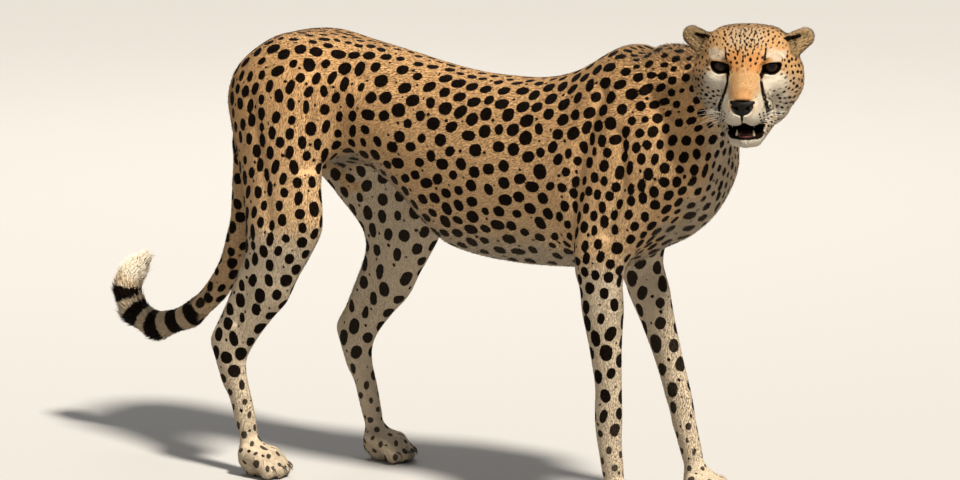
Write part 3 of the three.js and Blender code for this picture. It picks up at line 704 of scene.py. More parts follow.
floor_height = skin_points[:, 2]
on_left = belongs(*(name for name in FLESH if name.endswith("left")))
outward = np.where(skin_points[:, 1] < middle_y, -1.0, 1.0)
outward = np.where(on_right > 0.5, -1.0, np.where(on_left > 0.5, 1.0, outward))
inner_leg = smooth(-0.15, 0.55, -skin_normals[:, 1] * outward) * leg_share
chest_low, chest_high = box_mm("chest")
back_height = smooth(chest_low[2] + 20, chest_high[2] - 60, floor_height)
on_belly = smooth(0.25, 0.85, -skin_normals[:, 2]) * (1 - on_leg) * (1 - on_tail) * (1 - on_head)
on_spine = smooth(0.72, 0.97, skin_normals[:, 2]) * (1 - on_head) * (1 - on_tail)
front = unit(np.array([0.8, 0.0, -0.55]))
on_breast = smooth(0.35, 0.95, skin_normals @ front) * (1 - on_leg) * (1 - on_tail) * (1 - on_head)
on_breast *= smooth(chest_high[0] - 150, chest_high[0] - 60, skin_points[:, 0])

hx, hy, hz = head_points.T
hside = np.abs(hy)


def wobble(points, size, kind):
    """A smooth random value of about -1 to 1 at each point, with swells about size across."""
    waves = np.random.default_rng(kind)
    ways = waves.normal(0, 1, (3, 14)) * (math.pi / size)
    turns = waves.uniform(0, 2 * math.pi, 14)
    return np.sin(points @ ways + turns).sum(1) / 4


def layered(base, layers):
    """Values at each skin vertex: the base, then each layer's (share, value...) over what is below."""
    values = [np.full(len(skin_points), float(value)) for value in base]
    for share, *new in layers:
        values = [mix(value, layer_value, share) for value, layer_value in zip(values, new)]
    return values


def patch(u, v, at, radii):
    """1 inside an ellipse in a plane, fading to 0 across its edge."""
    return smooth(1.25, 0.75, np.hypot((u - at[0]) / radii[0], (v - at[1]) / radii[1]))


eye_lens = np.minimum(eye_opening(head_points, 1), eye_opening(head_points, -1))
mouth_lens = mouth_opening(head_points)
in_front = smooth(-30, -20, hx)

TEAR = [(27.0, -5), (26.4, -20), (29.5, -35), (34.5, -48), (38.0, -60), (38.6, -71)]
TEAR_WIDTH = [2.5, 2.1, 2.4, 3.1, 3.0, 1.8]
CROWN_STREAKS = [
    ((0, 15), (1, 50)),
    ((4, 27), (14, 54)),
    ((-5, 24), (-13, 52)),
    ((10, 24), (27, 50)),
    ((-11, 22), (-26, 50)),
    ((-2, 38), (-4, 56)),
]
# A black line inside each ear's cup: painted shadow of the ear's opening.
EAR_SHADOW_LINE = ((50, 38), (82, 46))
EAR_SHADOW_WIDTHS = (5.4, 2.4)


def face_ink():
    """Signed depth inside the black lines of the face, in millimetres."""
    ink = np.full(len(skin_points), UNMARKED)
    for n in range(len(TEAR) - 1):
        away, t = segment_distance(hside, hz, TEAR[n], TEAR[n + 1])
        ink = np.maximum(ink, mix(TEAR_WIDTH[n], TEAR_WIDTH[n + 1], t) - away)
    tick, t = segment_distance(hside, hz, (30, 13), (32, 30))
    ink = np.maximum(ink, mix(1.9, 1.2, t) - tick)
    ink = np.maximum(ink, 1.9 - eye_lens)
    lips = mix(5.6, 1.6, smooth(-4, 2, hz - MOUTH_MIDDLE))
    ink = np.maximum(ink, lips - mouth_lens)
    seam, _ = segment_distance(hy, hz, (0, -70), (0, -84))
    ink = np.maximum(ink, 1.3 - seam)
    for row, height in enumerate((-66, -71, -76, -81)):
        for n in range(5):
            dot = np.hypot(hside - 27 - 5 * n - row, hz - height - 1.2 * n)
            ink = np.maximum(ink, 1.7 - 0.12 * n - dot)
    for n, (start, stop) in enumerate(CROWN_STREAKS):
        streak, _ = segment_distance(hy, hz, start, stop)
        ink = np.maximum(ink, 0.7 + 0.9 * np.sin(hz * 0.75 + 2 * n) - streak)
    return np.where(in_front > 0.5, ink, UNMARKED)


def ear_shares():
    """How far each vertex is on an ear, and how far inside its cup."""
    on_ear = np.zeros(len(skin_points))
    in_cup = np.zeros(len(skin_points))
    for side in SIDES:
        beyond = smooth(50, 62, hy * side + 0.3 * hz)
        on_ear = np.maximum(on_ear, smooth(6, 2, leaf(head_points, EAR, side)) * beyond)
        in_cup = np.maximum(in_cup, smooth(3.0, 0.8, leaf(head_points, EAR_CUP, side)) * beyond)
    return on_ear, in_cup * on_ear


on_ear, in_ear = ear_shares()
bald_face = np.maximum.reduce(
    [
        patch(hside, hz, (46, 20), (15, 11)) * in_front,
        patch(hside, hz, (44, -22), (20, 13)) * in_front,
        patch(hside, hz, (6, -45), (28, 46)) * in_front,
        smooth(-58, -66, hz) * smooth(10, 30, hx),
        smooth(8, 4, eye_lens) * in_front,
        on_ear,
    ]
)


def spot_plan():
    """Pitch, size as a share of the pitch, stretch and strength of the spots at each skin vertex."""
    x = skin_points[:, 0]
    face = smooth(0.3, 0.9, on_head)
    cheeks = face * smooth(-60, 0, hx)
    brow = cheeks * smooth(22, 34, hz) * smooth(34, 18, hside)
    layers = [
        (smooth(0.2, 0.8, on_hind), 27, 0.34, 1.4, 1.0),
        (smooth(0.2, 0.8, on_fore), 24, 0.36, 1.25, 1.0),
        (smooth(405, 455, x) * (1 - on_leg), 21.5, 0.34, 1.2, 1.0),
        (on_spine, 23, 0.29, 1.5, 1.0),
        (on_neck, 21, 0.33, 1.1, 1.0),
        (on_breast, 20, 0.30, 1.2, 1.0),
        (on_belly, 33, 0.28, 1.2, 0.92),
        (smooth(420, 330, floor_height) * leg_share, 31, 0.33, 1.25, 1.0),
        (inner_leg, 36, 0.30, 1.3, 0.97),
        (smooth(200, 90, floor_height) * leg_share, 24, 0.21, 1.3, 0.9),
        (smooth(0.3, 0.9, on_tail), 27, 0.34, 1.1, 1.0),
        (face, 13, 0.25, 1.3, 1.0),
        (cheeks, 10, 0.26, 1.4, 1.0),
        (cheeks * smooth(10, 30, hz), 8.0, 0.25, 1.8, 1.0),
        (brow, 6.6, 0.26, 2.1, 1.0),
    ]
    pitch, size, stretch, strength = layered((30.5, 0.35, 1.12, 1.0), layers)
    ringed = smooth(tail_length * 0.6, tail_length * 0.66, tail_gone)
    strength *= 1 - smooth(0.3, 0.9, on_tail) * ringed
    return pitch, size, stretch, strength * (1 - bald_face)


SPOT_TRIES = 60000
MOST_SPOTS = 6000
CLOSEST_SPOTS = 0.76  # how near two spots may be, as a share of their pitch
KEPT_CLOSEST = 0.74  # and after they have pushed each other apart
PUSH_ROUNDS = 9
FAINTEST_SPOT = 0.25  # strength below which there is none
SQUARENESS = 2.2  # 2 is an ellipse; more fills its corners
ROOM = 0.44  # the most of the gap to the next spot that a spot's radius takes up


def settled_spots(plan):
    """Spot centres spread evenly over the skin: indices of the skin vertices they sit on."""
    pitch, _, _, strength = plan
    normals = face_normals(skin_points, skin_quads)
    area = np.linalg.norm(normals, axis=1) / 2
    chance = area / pitch[skin_quads[:, 0]] ** 2
    picked = rng.choice(len(skin_quads), SPOT_TRIES, p=chance / chance.sum())
    candidates = skin_quads[picked, 0]
    candidates = candidates[strength[candidates] > FAINTEST_SPOT]
    places = np.empty((MOST_SPOTS, 3))
    reaches = np.empty(MOST_SPOTS)
    chosen = []
    for vertex in candidates:
        count = len(chosen)
        reach = pitch[vertex] * CLOSEST_SPOTS
        gaps = np.linalg.norm(places[:count] - skin_points[vertex], axis=1)
        if count and (gaps < (reaches[:count] + reach) / 2).any():
            continue
        places[count] = skin_points[vertex]
        reaches[count] = reach
        chosen.append(vertex)
        if len(chosen) == len(places):
            break
    return relaxed(np.array(chosen), pitch)


def relaxed(chosen, pitch):
    """Pushes crowded spots apart, back onto the skin after each round."""
    for _ in range(PUSH_ROUNDS):
        places = skin_points[chosen]
        wanted = pitch[chosen]
        gaps = places[:, None, :] - places[None, :, :]
        lengths = np.linalg.norm(gaps, axis=2) + 1e-6
        reach = (wanted[:, None] + wanted[None, :]) / 2
        push = np.clip(1 - lengths / reach, 0, 1)
        np.fill_diagonal(push, 0)
        moves = (gaps * (push * 0.4 * reach / lengths)[..., None]).sum(1)
        chosen = nearest_in(skin_tree, places + moves)
    kept = []
    for vertex in chosen:
        gaps = np.linalg.norm(skin_points[kept] - skin_points[vertex], axis=1) if kept else np.array([])
        if not kept or gaps.min() > KEPT_CLOSEST * pitch[vertex]:
            kept.append(vertex)
    return np.array(kept)


def nearest_gaps(chosen):
    """How far each spot's centre is from the next one's."""
    places = skin_points[chosen]
    lengths = np.linalg.norm(places[:, None, :] - places[None, :, :], axis=2)
    np.fill_diagonal(lengths, np.inf)
    return lengths.min(1)


def cells_of(points, size):
    """A lookup of points by cubic cell."""
    keys = np.floor(points / size).astype(np.int64)
    code = (keys[:, 0] * 4096 + keys[:, 1]) * 4096 + keys[:, 2]
    order = np.argsort(code, kind="stable")
    return code[order], order


def near_cells(lookup, point, size):
    """The points in the cell of this point and in the cells around it."""
    code, order = lookup
    key = np.floor(point / size).astype(np.int64)
    found = []
    for dx in (-1, 0, 1):
        for dy in (-1, 0, 1):
            start = ((key[0] + dx) * 4096 + key[1] + dy) * 4096 + key[2]
            first, last = np.searchsorted(code, [start - 1, start + 2])
            found.append(order[first:last])
    return np.concatenate(found)


def spot_ink():
    """Signed depth inside the spots, in millimetres, and the strength of the deepest one."""
    plan = spot_plan()
    pitch, size, stretch, strength = plan
    chosen = settled_spots(plan)
    ink = np.full(len(skin_points), UNMARKED)
    shade = np.ones(len(skin_points))
    cell = 26.0
    lookup = cells_of(skin_points, cell)
    scale = np.exp(rng.normal(0, 0.13, len(chosen)))
    lean = rng.normal(0, 0.22, len(chosen))
    room = nearest_gaps(chosen) * ROOM
    for n, vertex in enumerate(chosen):
        if strength[vertex] < FAINTEST_SPOT:
            continue
        radius = min(pitch[vertex] * size[vertex] * scale[n], room[n])
        stretched = math.sqrt(stretch[vertex]) * math.exp(rng.normal(0, 0.08))
        normal = skin_normals[vertex]
        ahead = lie[vertex] + np.cross(normal, lie[vertex]) * lean[n]
        ahead /= np.linalg.norm(ahead)
        beside = np.cross(normal, ahead)
        close = near_cells(lookup, skin_points[vertex], cell)
        q = skin_points[close] - skin_points[vertex]
        u = (q @ ahead) / (radius * stretched)
        v = (q @ beside) / (radius / stretched)
        from_middle = (np.abs(u) ** SQUARENESS + np.abs(v) ** SQUARENESS) ** (1 / SQUARENESS)
        depth = (1 - from_middle) * radius
        same_side = skin_normals[close] @ normal > 0.1
        better = same_side & (depth > ink[close])
        ink[close[better]] = depth[better]
        shade[close[better]] = strength[vertex]
    fleck_ink(ink, strength, lookup, cell)
    return ink, shade


FLECK_TRIES = 9000
MOST_FLECKS = 700
FLECK_GAP = 24
FLECK_RADII = (1.6, 3.6)


def fleck_ink(ink, strength, lookup, cell):
    """Adds small flecks in the gaps that the spots leave."""
    tries = rng.choice(len(skin_points), FLECK_TRIES)
    flecks = []
    for vertex in tries:
        if strength[vertex] < 0.8 or ink[vertex] > -5.4 or on_head[vertex] > 0.3:
            continue
        point = skin_points[vertex]
        if flecks and (np.linalg.norm(np.array(flecks) - point, axis=1) < FLECK_GAP).any():
            continue
        flecks.append(point)
        radius = rng.uniform(*FLECK_RADII)
        close = near_cells(lookup, point, cell)
        away = np.linalg.norm(skin_points[close] - point, axis=1)
        ink[close] = np.maximum(ink[close], radius - away)
        if len(flecks) > MOST_FLECKS:
            break


RING_PITCH = 48
LAST_RING = 62  # from the tail's tip to the middle of the last ring
WHITE_TIP = 42  # length of the tail's white end


def tail_ink():
    """Dark rings towards the tail's end, before its pale tip."""
    ring = 0.5 + 0.5 * np.cos((tail_length - tail_gone - LAST_RING) / RING_PITCH * 2 * math.pi)
    depth = (ring - 0.42) * 16
    banded = smooth(tail_length * 0.60, tail_length * 0.66, tail_gone)
    banded *= smooth(tail_length - WHITE_TIP + 8, tail_length - WHITE_TIP, tail_gone)
    return np.where(on_tail * banded > 0.5, depth, UNMARKED)


spots, spot_strength = spot_ink()
rings = tail_ink()
face_lines = face_ink()
ear_patch = (
    smooth(0.5, 0.9, on_ear)
    * (1 - in_ear)
    * smooth(0.1, -0.3, head_normals[:, 0])
    * smooth(18, 28, hz)
    * smooth(56, 48, hz)
)
# Painted shadow of the ear's opening: a black line along the inside of the cup.
away, gone = segment_distance(hside, hz, *EAR_SHADOW_LINE)
ear_shadow = np.where(in_ear > 0.15, mix(*EAR_SHADOW_WIDTHS, gone) - away, UNMARKED)
drawn = np.maximum.reduce([rings, face_lines, ear_patch * 8 - 4, ear_shadow])
ink = np.clip(np.maximum(spots, drawn), UNMARKED, -UNMARKED)
ink_strength = np.where(drawn > spots, 1.0, spot_strength)

# ---- colours (linear)

GOLD = np.array([0.60, 0.345, 0.15])
SAND = np.array([0.60, 0.395, 0.21])
PALE = np.array([0.58, 0.47, 0.335])
WHITE = np.array([0.66, 0.585, 0.47])
ORANGE = np.array([0.52, 0.215, 0.06])
GREY = np.array([0.12, 0.09, 0.06])
EAR_TONE = np.array([0.30, 0.215, 0.11])
# Near black for the inside of the open mouth: painted shade deep in the cavity.
MOUTH_SHADE = np.array([0.02, 0.008, 0.007])
BLACK = np.array([0.006, 0.003, 0.0015])


def coat_hue():
    """The ground colour of the coat at each skin vertex, without its black marks."""
    head = smooth(0.3, 0.9, on_head)
    across = hside + 2.5 * wobble(head_points, 17, 1)
    up = hz + 2.5 * wobble(head_points, 17, 2)

    def dab(at, radii, lean=0.0):
        """An ellipse on both sides of the face."""
        return head * patch(across, up + lean * (across - at[0]), at, radii) * in_front

    # The inside of the open mouth, back to its rear wall, is painted near black as painted shade.
    throat_shade = smooth(0.8, -1.0, mouth_lens) * smooth(MOUTH_BACK - 4, MOUTH_BACK - 1, hx)
    layers = [
        (back_height * 0.9, GOLD),
        (smooth(chest_low[2] + 70, chest_low[2] + 5, floor_height) * (1 - on_tail), PALE),
        (on_belly, PALE),
        # The breast gets the pale only partly: its own pale colour, darkened a little as painted shade
        # under the head.
        (on_breast * 0.85, PALE),
        (inner_leg, PALE),
        (smooth(330, 120, floor_height) * 0.75 * leg_share, PALE),
        (on_tail * smooth(tail_length * 0.45, tail_length * 0.8, tail_gone) * 0.8, PALE),
        (on_tail * smooth(tail_length - WHITE_TIP, tail_length - WHITE_TIP + 10, tail_gone), WHITE),
        (head, SAND),
        (head * smooth(-30, -70, up) * 0.9, PALE),
        (head * smooth(-18, 4, up) * smooth(-70, -30, hx), GOLD),
        (dab((48, -40), (30, 36)), PALE),
        (dab((0, -24), (25, 34)) * 0.8, GOLD),
        (dab((16, 9), (15, 14)) * 0.7, ORANGE),
        (dab((0, -36), (15, 11)) * 0.35, ORANGE),
        (head * smooth(24, 40, up) * smooth(40, 20, hside) * in_front * 0.5, PALE),
        (dab((46, 19), (16, 8.5), 0.1) * 0.7, WHITE),
        (dab((46, -22), (21, 12)) * 0.9, WHITE),
        (dab((42, -50), (22, 24)) * 0.6, WHITE),
        (head * patch(across, up, (76, -24), (13, 30)) * 0.35, GOLD),
        (head * smooth(-56, -68, up) * smooth(10, 30, hx) * 0.9, WHITE),
        (head * smooth(-104, -110, hz) * smooth(0, 20, hx), WHITE),
        (on_ear * (1 - in_ear) * 0.8, GREY),
        (on_ear * (1 - in_ear) * smooth(50, 57, hz) * 0.5, PALE),
        (in_ear * 0.85, EAR_TONE),
        (throat_shade, MOUTH_SHADE),
    ]
    return np.stack(layered(SAND, [(share, *colour) for share, colour in layers]), 1)


hue = coat_hue()

# ---- mesh making


def placed(name, data):
    made = bpy.data.objects.new(name, data)
    bpy.context.scene.collection.objects.link(made)
    return made


def make_mesh(name, points, faces, corners_per_face):
    """A mesh object from points in millimetres and faces that all have as many corners."""
    mesh = bpy.data.meshes.new(name)
    faces = np.ascontiguousarray(faces, np.int32)
    mesh.vertices.add(len(points))
    mesh.vertices.foreach_set("co", (np.asarray(points, float) * MM).astype(np.float32).ravel())
    mesh.loops.add(faces.size)
    mesh.loops.foreach_set("vertex_index", faces.ravel())
    mesh.polygons.add(len(faces))
    starts = np.arange(0, faces.size, corners_per_face, dtype=np.int32)
    mesh.polygons.foreach_set("loop_start", starts)
    mesh.update()
    return placed(name, mesh)


def add_colour(obj, name, colours):
    attribute = obj.data.attributes.new(name, "FLOAT_COLOR", "POINT")
    with_alpha = np.ones((len(colours), 4), np.float32)
    with_alpha[:, :3] = colours
    attribute.data.foreach_set("color", with_alpha.ravel())


def add_number(obj, name, values):
    attribute = obj.data.attributes.new(name, "FLOAT", "POINT")
    attribute.data.foreach_set("value", np.asarray(values, np.float32))


def dress(obj, hues, inks, strengths, material):
    """Gives skin or coat its ground colour, its black marks and its material."""
    add_colour(obj, "hue", hues)
    add_number(obj, "ink", inks)
    add_number(obj, "ink_strength", strengths)
    obj.data.materials.append(material)


# ---- materials


class Nodes:
    """A material's node tree, with short calls for the nodes used here."""

    def __init__(self, name, **sockets):
        self.material = bpy.data.materials.new(name)
        self.material.use_nodes = True
        self.tree = self.material.node_tree
        self.shader = self.tree.nodes["Principled BSDF"]
        for socket, value in sockets.items():
            self.shader.inputs[socket.replace("_", " ").title().replace("Ior", "IOR")].default_value = value

    def add(self, kind, **settings):
        node = self.tree.nodes.new(kind)
        for key, value in settings.items():
            setattr(node, key, value)
        return node

    def link(self, source, target):
        self.tree.links.new(source, target)

    def feed(self, socket, value):
        """Sets a socket to a colour or a number, or links another node's output to it."""
        if isinstance(value, (tuple, list)):
            socket.default_value = (*value, 1.0)
        elif isinstance(value, (int, float)):
            socket.default_value = value
        elif value is not None:
            self.link(value, socket)

    def attribute(self, name, output):
        return self.add("ShaderNodeAttribute", attribute_name=name).outputs[output]

    def noise(self, scale, detail=3.0, roughness=0.6, stretch=None):
        place = self.add("ShaderNodeNewGeometry").outputs["Position"]
        if stretch:
            scaled = self.add("ShaderNodeVectorMath", operation="MULTIPLY")
            self.link(place, scaled.inputs[0])
            scaled.inputs[1].default_value = stretch
            place = scaled.outputs[0]
        node = self.add("ShaderNodeTexNoise")
        node.inputs["Scale"].default_value = scale
        node.inputs["Detail"].default_value = detail
        node.inputs["Roughness"].default_value = roughness
        self.link(place, node.inputs["Vector"])
        return node.outputs["Fac"]

    def maths(self, operation, a, b=None, c=None):
        node = self.add("ShaderNodeMath", operation=operation)
        for socket, value in zip(node.inputs, (a, b, c)):
            self.feed(socket, value)
        return node.outputs[0]

    def ranged(self, value, low, high, to_low, to_high):
        node = self.add("ShaderNodeMapRange", interpolation_type="SMOOTHSTEP")
        self.link(value, node.inputs["Value"])
        limits = {"From Min": low, "From Max": high, "To Min": to_low, "To Max": to_high}
        for socket, number in limits.items():
            node.inputs[socket].default_value = number
        return node.outputs["Result"]

    def blend(self, a, b, share, kind="MIX"):
        """The Mix node's colour sockets are its seventh and eighth, its factor is its first."""
        node = self.add("ShaderNodeMix", data_type="RGBA", blend_type=kind)
        for socket, value in zip((6, 7, 0), (a, b, share)):
            self.feed(node.inputs[socket], value)
        return node.outputs[2]

    def shaded(self, colour, grain):
        """A colour made darker or lighter by a number."""
        return self.blend(colour, self.blend((0, 0, 0), (1, 1, 1), grain), 1.0, "MULTIPLY")

    def bump(self, height, distance, strength=1.0):
        node = self.add("ShaderNodeBump")
        node.inputs["Distance"].default_value = distance * MM
        node.inputs["Strength"].default_value = strength
        self.link(height, node.inputs["Height"])
        self.link(node.outputs["Normal"], self.shader.inputs["Normal"])

    def colour(self, output):
        self.link(output, self.shader.inputs["Base Color"])


def markings(n, grain_scale, grain_low, grain_high):
    """The coat's colour: grained ground, and black marks with ragged edges."""
    ground = n.attribute("hue", "Color")
    grain = n.ranged(n.noise(grain_scale), 0.3, 0.7, grain_low, grain_high)
    ground = n.shaded(ground, grain)
    ragged = n.maths("MULTIPLY_ADD", n.noise(140), 2.4, -1.2)
    depth = n.maths("ADD", n.attribute("ink", "Fac"), ragged)
    black = n.maths("MULTIPLY", n.ranged(depth, -0.55, 0.65, 0, 1), n.attribute("ink_strength", "Fac"))
    n.colour(n.blend(ground, tuple(BLACK), black))


def skin_material():
    """Short dense hair seen between the tufts, its grain reaching darker than the coat's as painted shade
    in the gaps.
    """
    n = Nodes("cheetah_skin", roughness=0.85, specular_ior_level=0.05)
    markings(n, 900, 0.72, 1.08)
    n.bump(n.noise(1300, 2.0), 0.5, 0.6)
    return n.material


def coat_material():
    """Locks of short hair."""
    n = Nodes("cheetah_coat", roughness=0.62, specular_ior_level=0.05)
    markings(n, 420, 0.84, 1.08)
    return n.material


# ---- skin object

skin = make_mesh("skin", skin_points, skin_quads, 4)
dress(skin, hue, ink, ink_strength, skin_material())
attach(skin, "root")
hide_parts(*FLESH)

# ---- eyes, nose, mouth, claws


def pieces_mesh(name, parts, material, replaced):
    """One object from (points, faces) parts in millimetres, standing for the named CAD nodes."""
    points, faces = [], []
    for part_points, part_faces in parts:
        faces += [[corner + len(points) for corner in face] for face in part_faces]
        points += [tuple(point) for point in np.asarray(part_points) * MM]
    mesh = bpy.data.meshes.new(name)
    mesh.from_pydata(points, [], faces)
    mesh.materials.append(material)
    mesh.shade_smooth()
    made = placed(name, mesh)
    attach(made, "root")
    if replaced:
        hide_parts(*replaced)
    return made


def head_form(low, high, step, distance):
    """The surface of a distance form given in the head's axes, as points and faces."""
    axes = [np.arange(low[a], high[a], step) for a in range(3)]
    points, quads = meshed(distance(grid_points(axes).astype(np.float32)), axes)
    return from_head(points), quads.tolist()


def tube_faces(rings, around):
    """Faces of rings of points, closed by one more point after the last ring, then one before the first."""
    turns = [(step, (step + 1) % around) for step in range(around)]
    last = (rings - 1) * around
    faces = []
    for start in range(0, last, around):
        for step, after in turns:
            a, b = start + step, start + after
            faces.append([a, b, b + around, a + around])
    for step, after in turns:
        faces.append([last + step, last + after, last + around])
        faces.append([after, step, last + around + 1])
    return faces


def horn(line, radii, around=10, flat=1.0):
    """A closed tapering horn along a line of points, ending in a point."""
    line = np.asarray(line, float)
    points = []
    for n in range(len(line) - 1):
        ahead = unit(line[n + 1] - line[max(n - 1, 0)])
        side = unit(np.cross(ahead, (0.02, 0.01, 1.0)))
        over = np.cross(side, ahead)
        for step in range(around):
            angle = 2 * math.pi * step / around
            points.append(line[n] + radii[n] * (math.cos(angle) * side * flat + math.sin(angle) * over))
    points += [line[-1], line[0]]
    return points, tube_faces(len(line) - 1, around)


def curve(start, bend, end, count):
    """Points along the arc from start to end that leans towards bend."""
    t = np.linspace(0, 1, count)[:, None]
    start, bend, end = (np.asarray(v, float) for v in (start, bend, end))
    return (1 - t) ** 2 * start + 2 * t * (1 - t) * bend + t**2 * end


GAZE = unit(np.array([0.5, -0.862, 0.16]))
IRIS = 10.8
CORNEA = 0.9


def eyeball(place):
    """A ball with a bulging cornea, its pole turned to the gaze."""
    side = unit(np.cross((0, 0, 1.0), GAZE))
    over = np.cross(GAZE, side)
    rings, around = 40, 48
    points, off_axis = [], []
    for ring in range(1, rings):
        angle = math.pi * (ring / rings) ** 1.25
        reach = EYE_RADIUS * math.sin(angle)
        bulge = CORNEA * math.exp(-((reach / IRIS) ** 4)) if angle < 1.5 else 0.0
        for step in range(around):
            turn = 2 * math.pi * step / around
            round_way = math.cos(turn) * side + math.sin(turn) * over
            outward = math.cos(angle) * GAZE + math.sin(angle) * round_way
            points.append(place + outward * (EYE_RADIUS - CORNEA + bulge))
            off_axis.append(reach if angle < 1.5 else EYE_RADIUS)
    points += [place - GAZE * (EYE_RADIUS - CORNEA), place + GAZE * EYE_RADIUS]
    off_axis += [EYE_RADIUS, 0.0]
    outwards = [face[:1] + face[:0:-1] for face in tube_faces(rings - 1, around)]
    return points, outwards, off_axis


def eye_material():
    """Amber iris painted nearly black as painted shade from the brows, with fine rays, black pupil and rim,
    under a wet clear coat.
    """
    n = Nodes("wet_eye", roughness=0.35, specular_ior_level=0.08, coat_weight=0.2, coat_roughness=0.04)
    reach = n.attribute("off_axis", "Fac")
    rays = n.ranged(n.noise(700, 4.0), 0.3, 0.7, 0.5, 1.3)
    # The iris's own amber is painted nearly black: painted shade from the brows.
    iris = n.blend((0.007, 0.003, 0.0015), (0.024, 0.010, 0.004), n.ranged(reach, 3.5, 7.5, 0, 1))
    iris = n.shaded(iris, rays)
    inner = n.ranged(reach, 4.2, 5.2, 0, 1)
    outer = n.ranged(reach, IRIS - 2.6, IRIS - 0.4, 1, 0)
    n.colour(n.blend((0.002, 0.0015, 0.0015), iris, n.maths("MULTIPLY", inner, outer)))
    return n.material


def wet_material(name, dark, light, scale, roughness, bump):
    """A moist pebbled surface, mottled between two colours."""
    n = Nodes(name, roughness=roughness, specular_ior_level=0.12)
    n.colour(n.blend(dark, light, n.ranged(n.noise(scale / 4), 0.35, 0.7, 0, 1)))
    n.bump(n.noise(scale, 2.0), bump, 0.8)
    return n.material


def horny_material(name, root, tip, scale):
    """Tooth or claw: streaked along its growth."""
    n = Nodes(name, roughness=0.32, specular_ior_level=0.5)
    streaks = n.ranged(n.noise(scale, 3.0, stretch=(1.0, 1.0, 0.25)), 0.3, 0.7, 0, 1)
    n.colour(n.blend(root, tip, streaks))
    n.bump(n.noise(scale * 2, 2.0), 0.15, 0.5)
    return n.material


def nose_distance(p):
    """A black wedge: wide and flat at the top, narrowing to the cleft of the lip."""
    p = p + np.float32([0, 0, NOSE_DROP])
    side = np.abs(p[..., 1])
    d = ball(p, (60, 0, -51), (14.5, 22, 17))
    wedge = (side - 21.5 + 0.66 * (-47 - p[..., 2])) * 0.85
    d = carve(d, -wedge, 4)
    d = melt(d, rod(p, (68, 0, -60), (67.5, 0, -72), 3.6, 2.2), 5)
    top = p[..., 2] + 42.5 - 0.012 * side**2
    d = carve(d, -top, 5)
    nostril = np.stack([p[..., 0], side, p[..., 2]], -1)
    d = carve(d, rod(nostril, (77, 9, -55.5), (68, 8.5, -53.5), 3.4, 2.6), 2)
    d = carve(d, rod(nostril, (75, 10, -54), (65, 19, -49), 2.4, 1.6), 2)
    return carve(d, rod(p, (76, 0, -50), (72, 0, -72), 0.9, 1.0), 2)


def tongue_distance(p):
    """A flat tongue with a furrow down its middle."""
    d = ball(p, (24, MOUTH_SHIFT, -104), (32, 15, 5))
    return carve(d, rod(p, (62, MOUTH_SHIFT, -98.6), (0, MOUTH_SHIFT, -97.6), 1.2, 1.2), 3)


def add_face_pieces():
    for side, name in ((1, "left"), (-1, "right")):
        points, faces, off_axis = eyeball(from_head(eye_centre(side)))
        eye = pieces_mesh(f"eyeball_{name}", [(points, faces)], eye_matter, [f"eye_{name}"])
        add_number(eye, "off_axis", off_axis)
    form = head_form((40, -27, -80), (82, 27, -32), 0.8, nose_distance)
    leather = wet_material("nose_leather", (0.003, 0.0025, 0.002), (0.012, 0.009, 0.008), 1500, 0.45, 0.4)
    pieces_mesh("nose_pad", [form], leather, ["nose"])
    form = head_form((-12, -18, -112), (60, 21, -94), 1.0, tongue_distance)
    flesh = wet_material("tongue_flesh", (0.05, 0.014, 0.014), (0.10, 0.03, 0.028), 1800, 0.4, 0.5)
    pieces_mesh("tongue_form", [form], flesh, ["tongue"])
    # The enamel is a dusky ivory: its own colour darkened as painted shade inside the mouth.
    shaded_enamel = horny_material("tooth_enamel_shaded", (0.36, 0.28, 0.17), (0.50, 0.43, 0.30), 400)
    teeth = []
    for side in SIDES:
        across = 13 * side + MOUTH_SHIFT
        lower = curve((38, across, -108), (43, across, -100), (42, across, -93), 7)
        teeth.append(horn(from_head(lower), [2.8, 2.7, 2.5, 2.1, 1.5, 0.9]))
        upper = curve((34, 17 * side, -76), (40, 17.5 * side, -84), (38, 17 * side, -92), 7)
        teeth.append(horn(from_head(upper), [3.0, 3.0, 2.7, 2.3, 1.6, 0.9]))
        for n in range(3):
            y = (1.6 + 3.2 * n) * side + MOUTH_SHIFT
            low_tooth = curve((44, y, -108), (47 - n, y, -103), (47 - n, y, -99.5), 4)
            teeth.append(horn(from_head(low_tooth), [1.5, 1.6, 1.3], 8, 1.0))
    pieces_mesh("teeth", teeth, shaded_enamel, [])


def add_whiskers():
    """Long pale hairs from the muzzle's sides."""
    whiskers = []
    for side in SIDES:
        for row in range(3):
            for n in range(3 - row // 2):
                root = np.array([50 - 8 * n, (32 + 3.2 * n) * side, -67 - 5.5 * row + 0.8 * n])
                reach = rng.uniform(32, 46) * (0.8 + 0.08 * n)
                way = np.array([0.1 - 0.16 * n, side * 1.0, 0.16 - 0.12 * row])
                way += rng.normal(0, 0.07, 3)
                end = root + unit(way) * reach + (-4, 0, -8)
                line = curve(root - unit(way) * 2, root + unit(way) * reach * 0.55, end, 8)
                whiskers.append(horn(from_head(line), np.linspace(0.32, 0.12, 7), 5))
    hair = horny_material("whisker_hair", (0.70, 0.64, 0.54), (0.82, 0.78, 0.70), 300)
    pieces_mesh("whiskers", whiskers, hair, [])


def add_claws():
    matter = horny_material("claw_horn", (0.035, 0.026, 0.02), (0.12, 0.09, 0.065), 500)
    for end, side in FEET:
        names = claw_names(end, side)
        claws = []
        for name in names:
            low, high = box_mm(name)
            y = centre(name)[1]
            start = (low[0] - 1.5, y, high[2] - 2.5)
            bend = (high[0] - 1.0, y, high[2] + 1.0)
            tip = (high[0] - 0.2, y, low[2] + 0.3)
            claws.append(horn(curve(start, bend, tip, 9), np.linspace(3.4, 0.8, 8), 10, 0.62))
        pieces_mesh(f"claws_{end}_{side}", claws, matter, names)


eye_matter = eye_material()
add_face_pieces()
add_whiskers()
add_claws()

# ---- coat plan


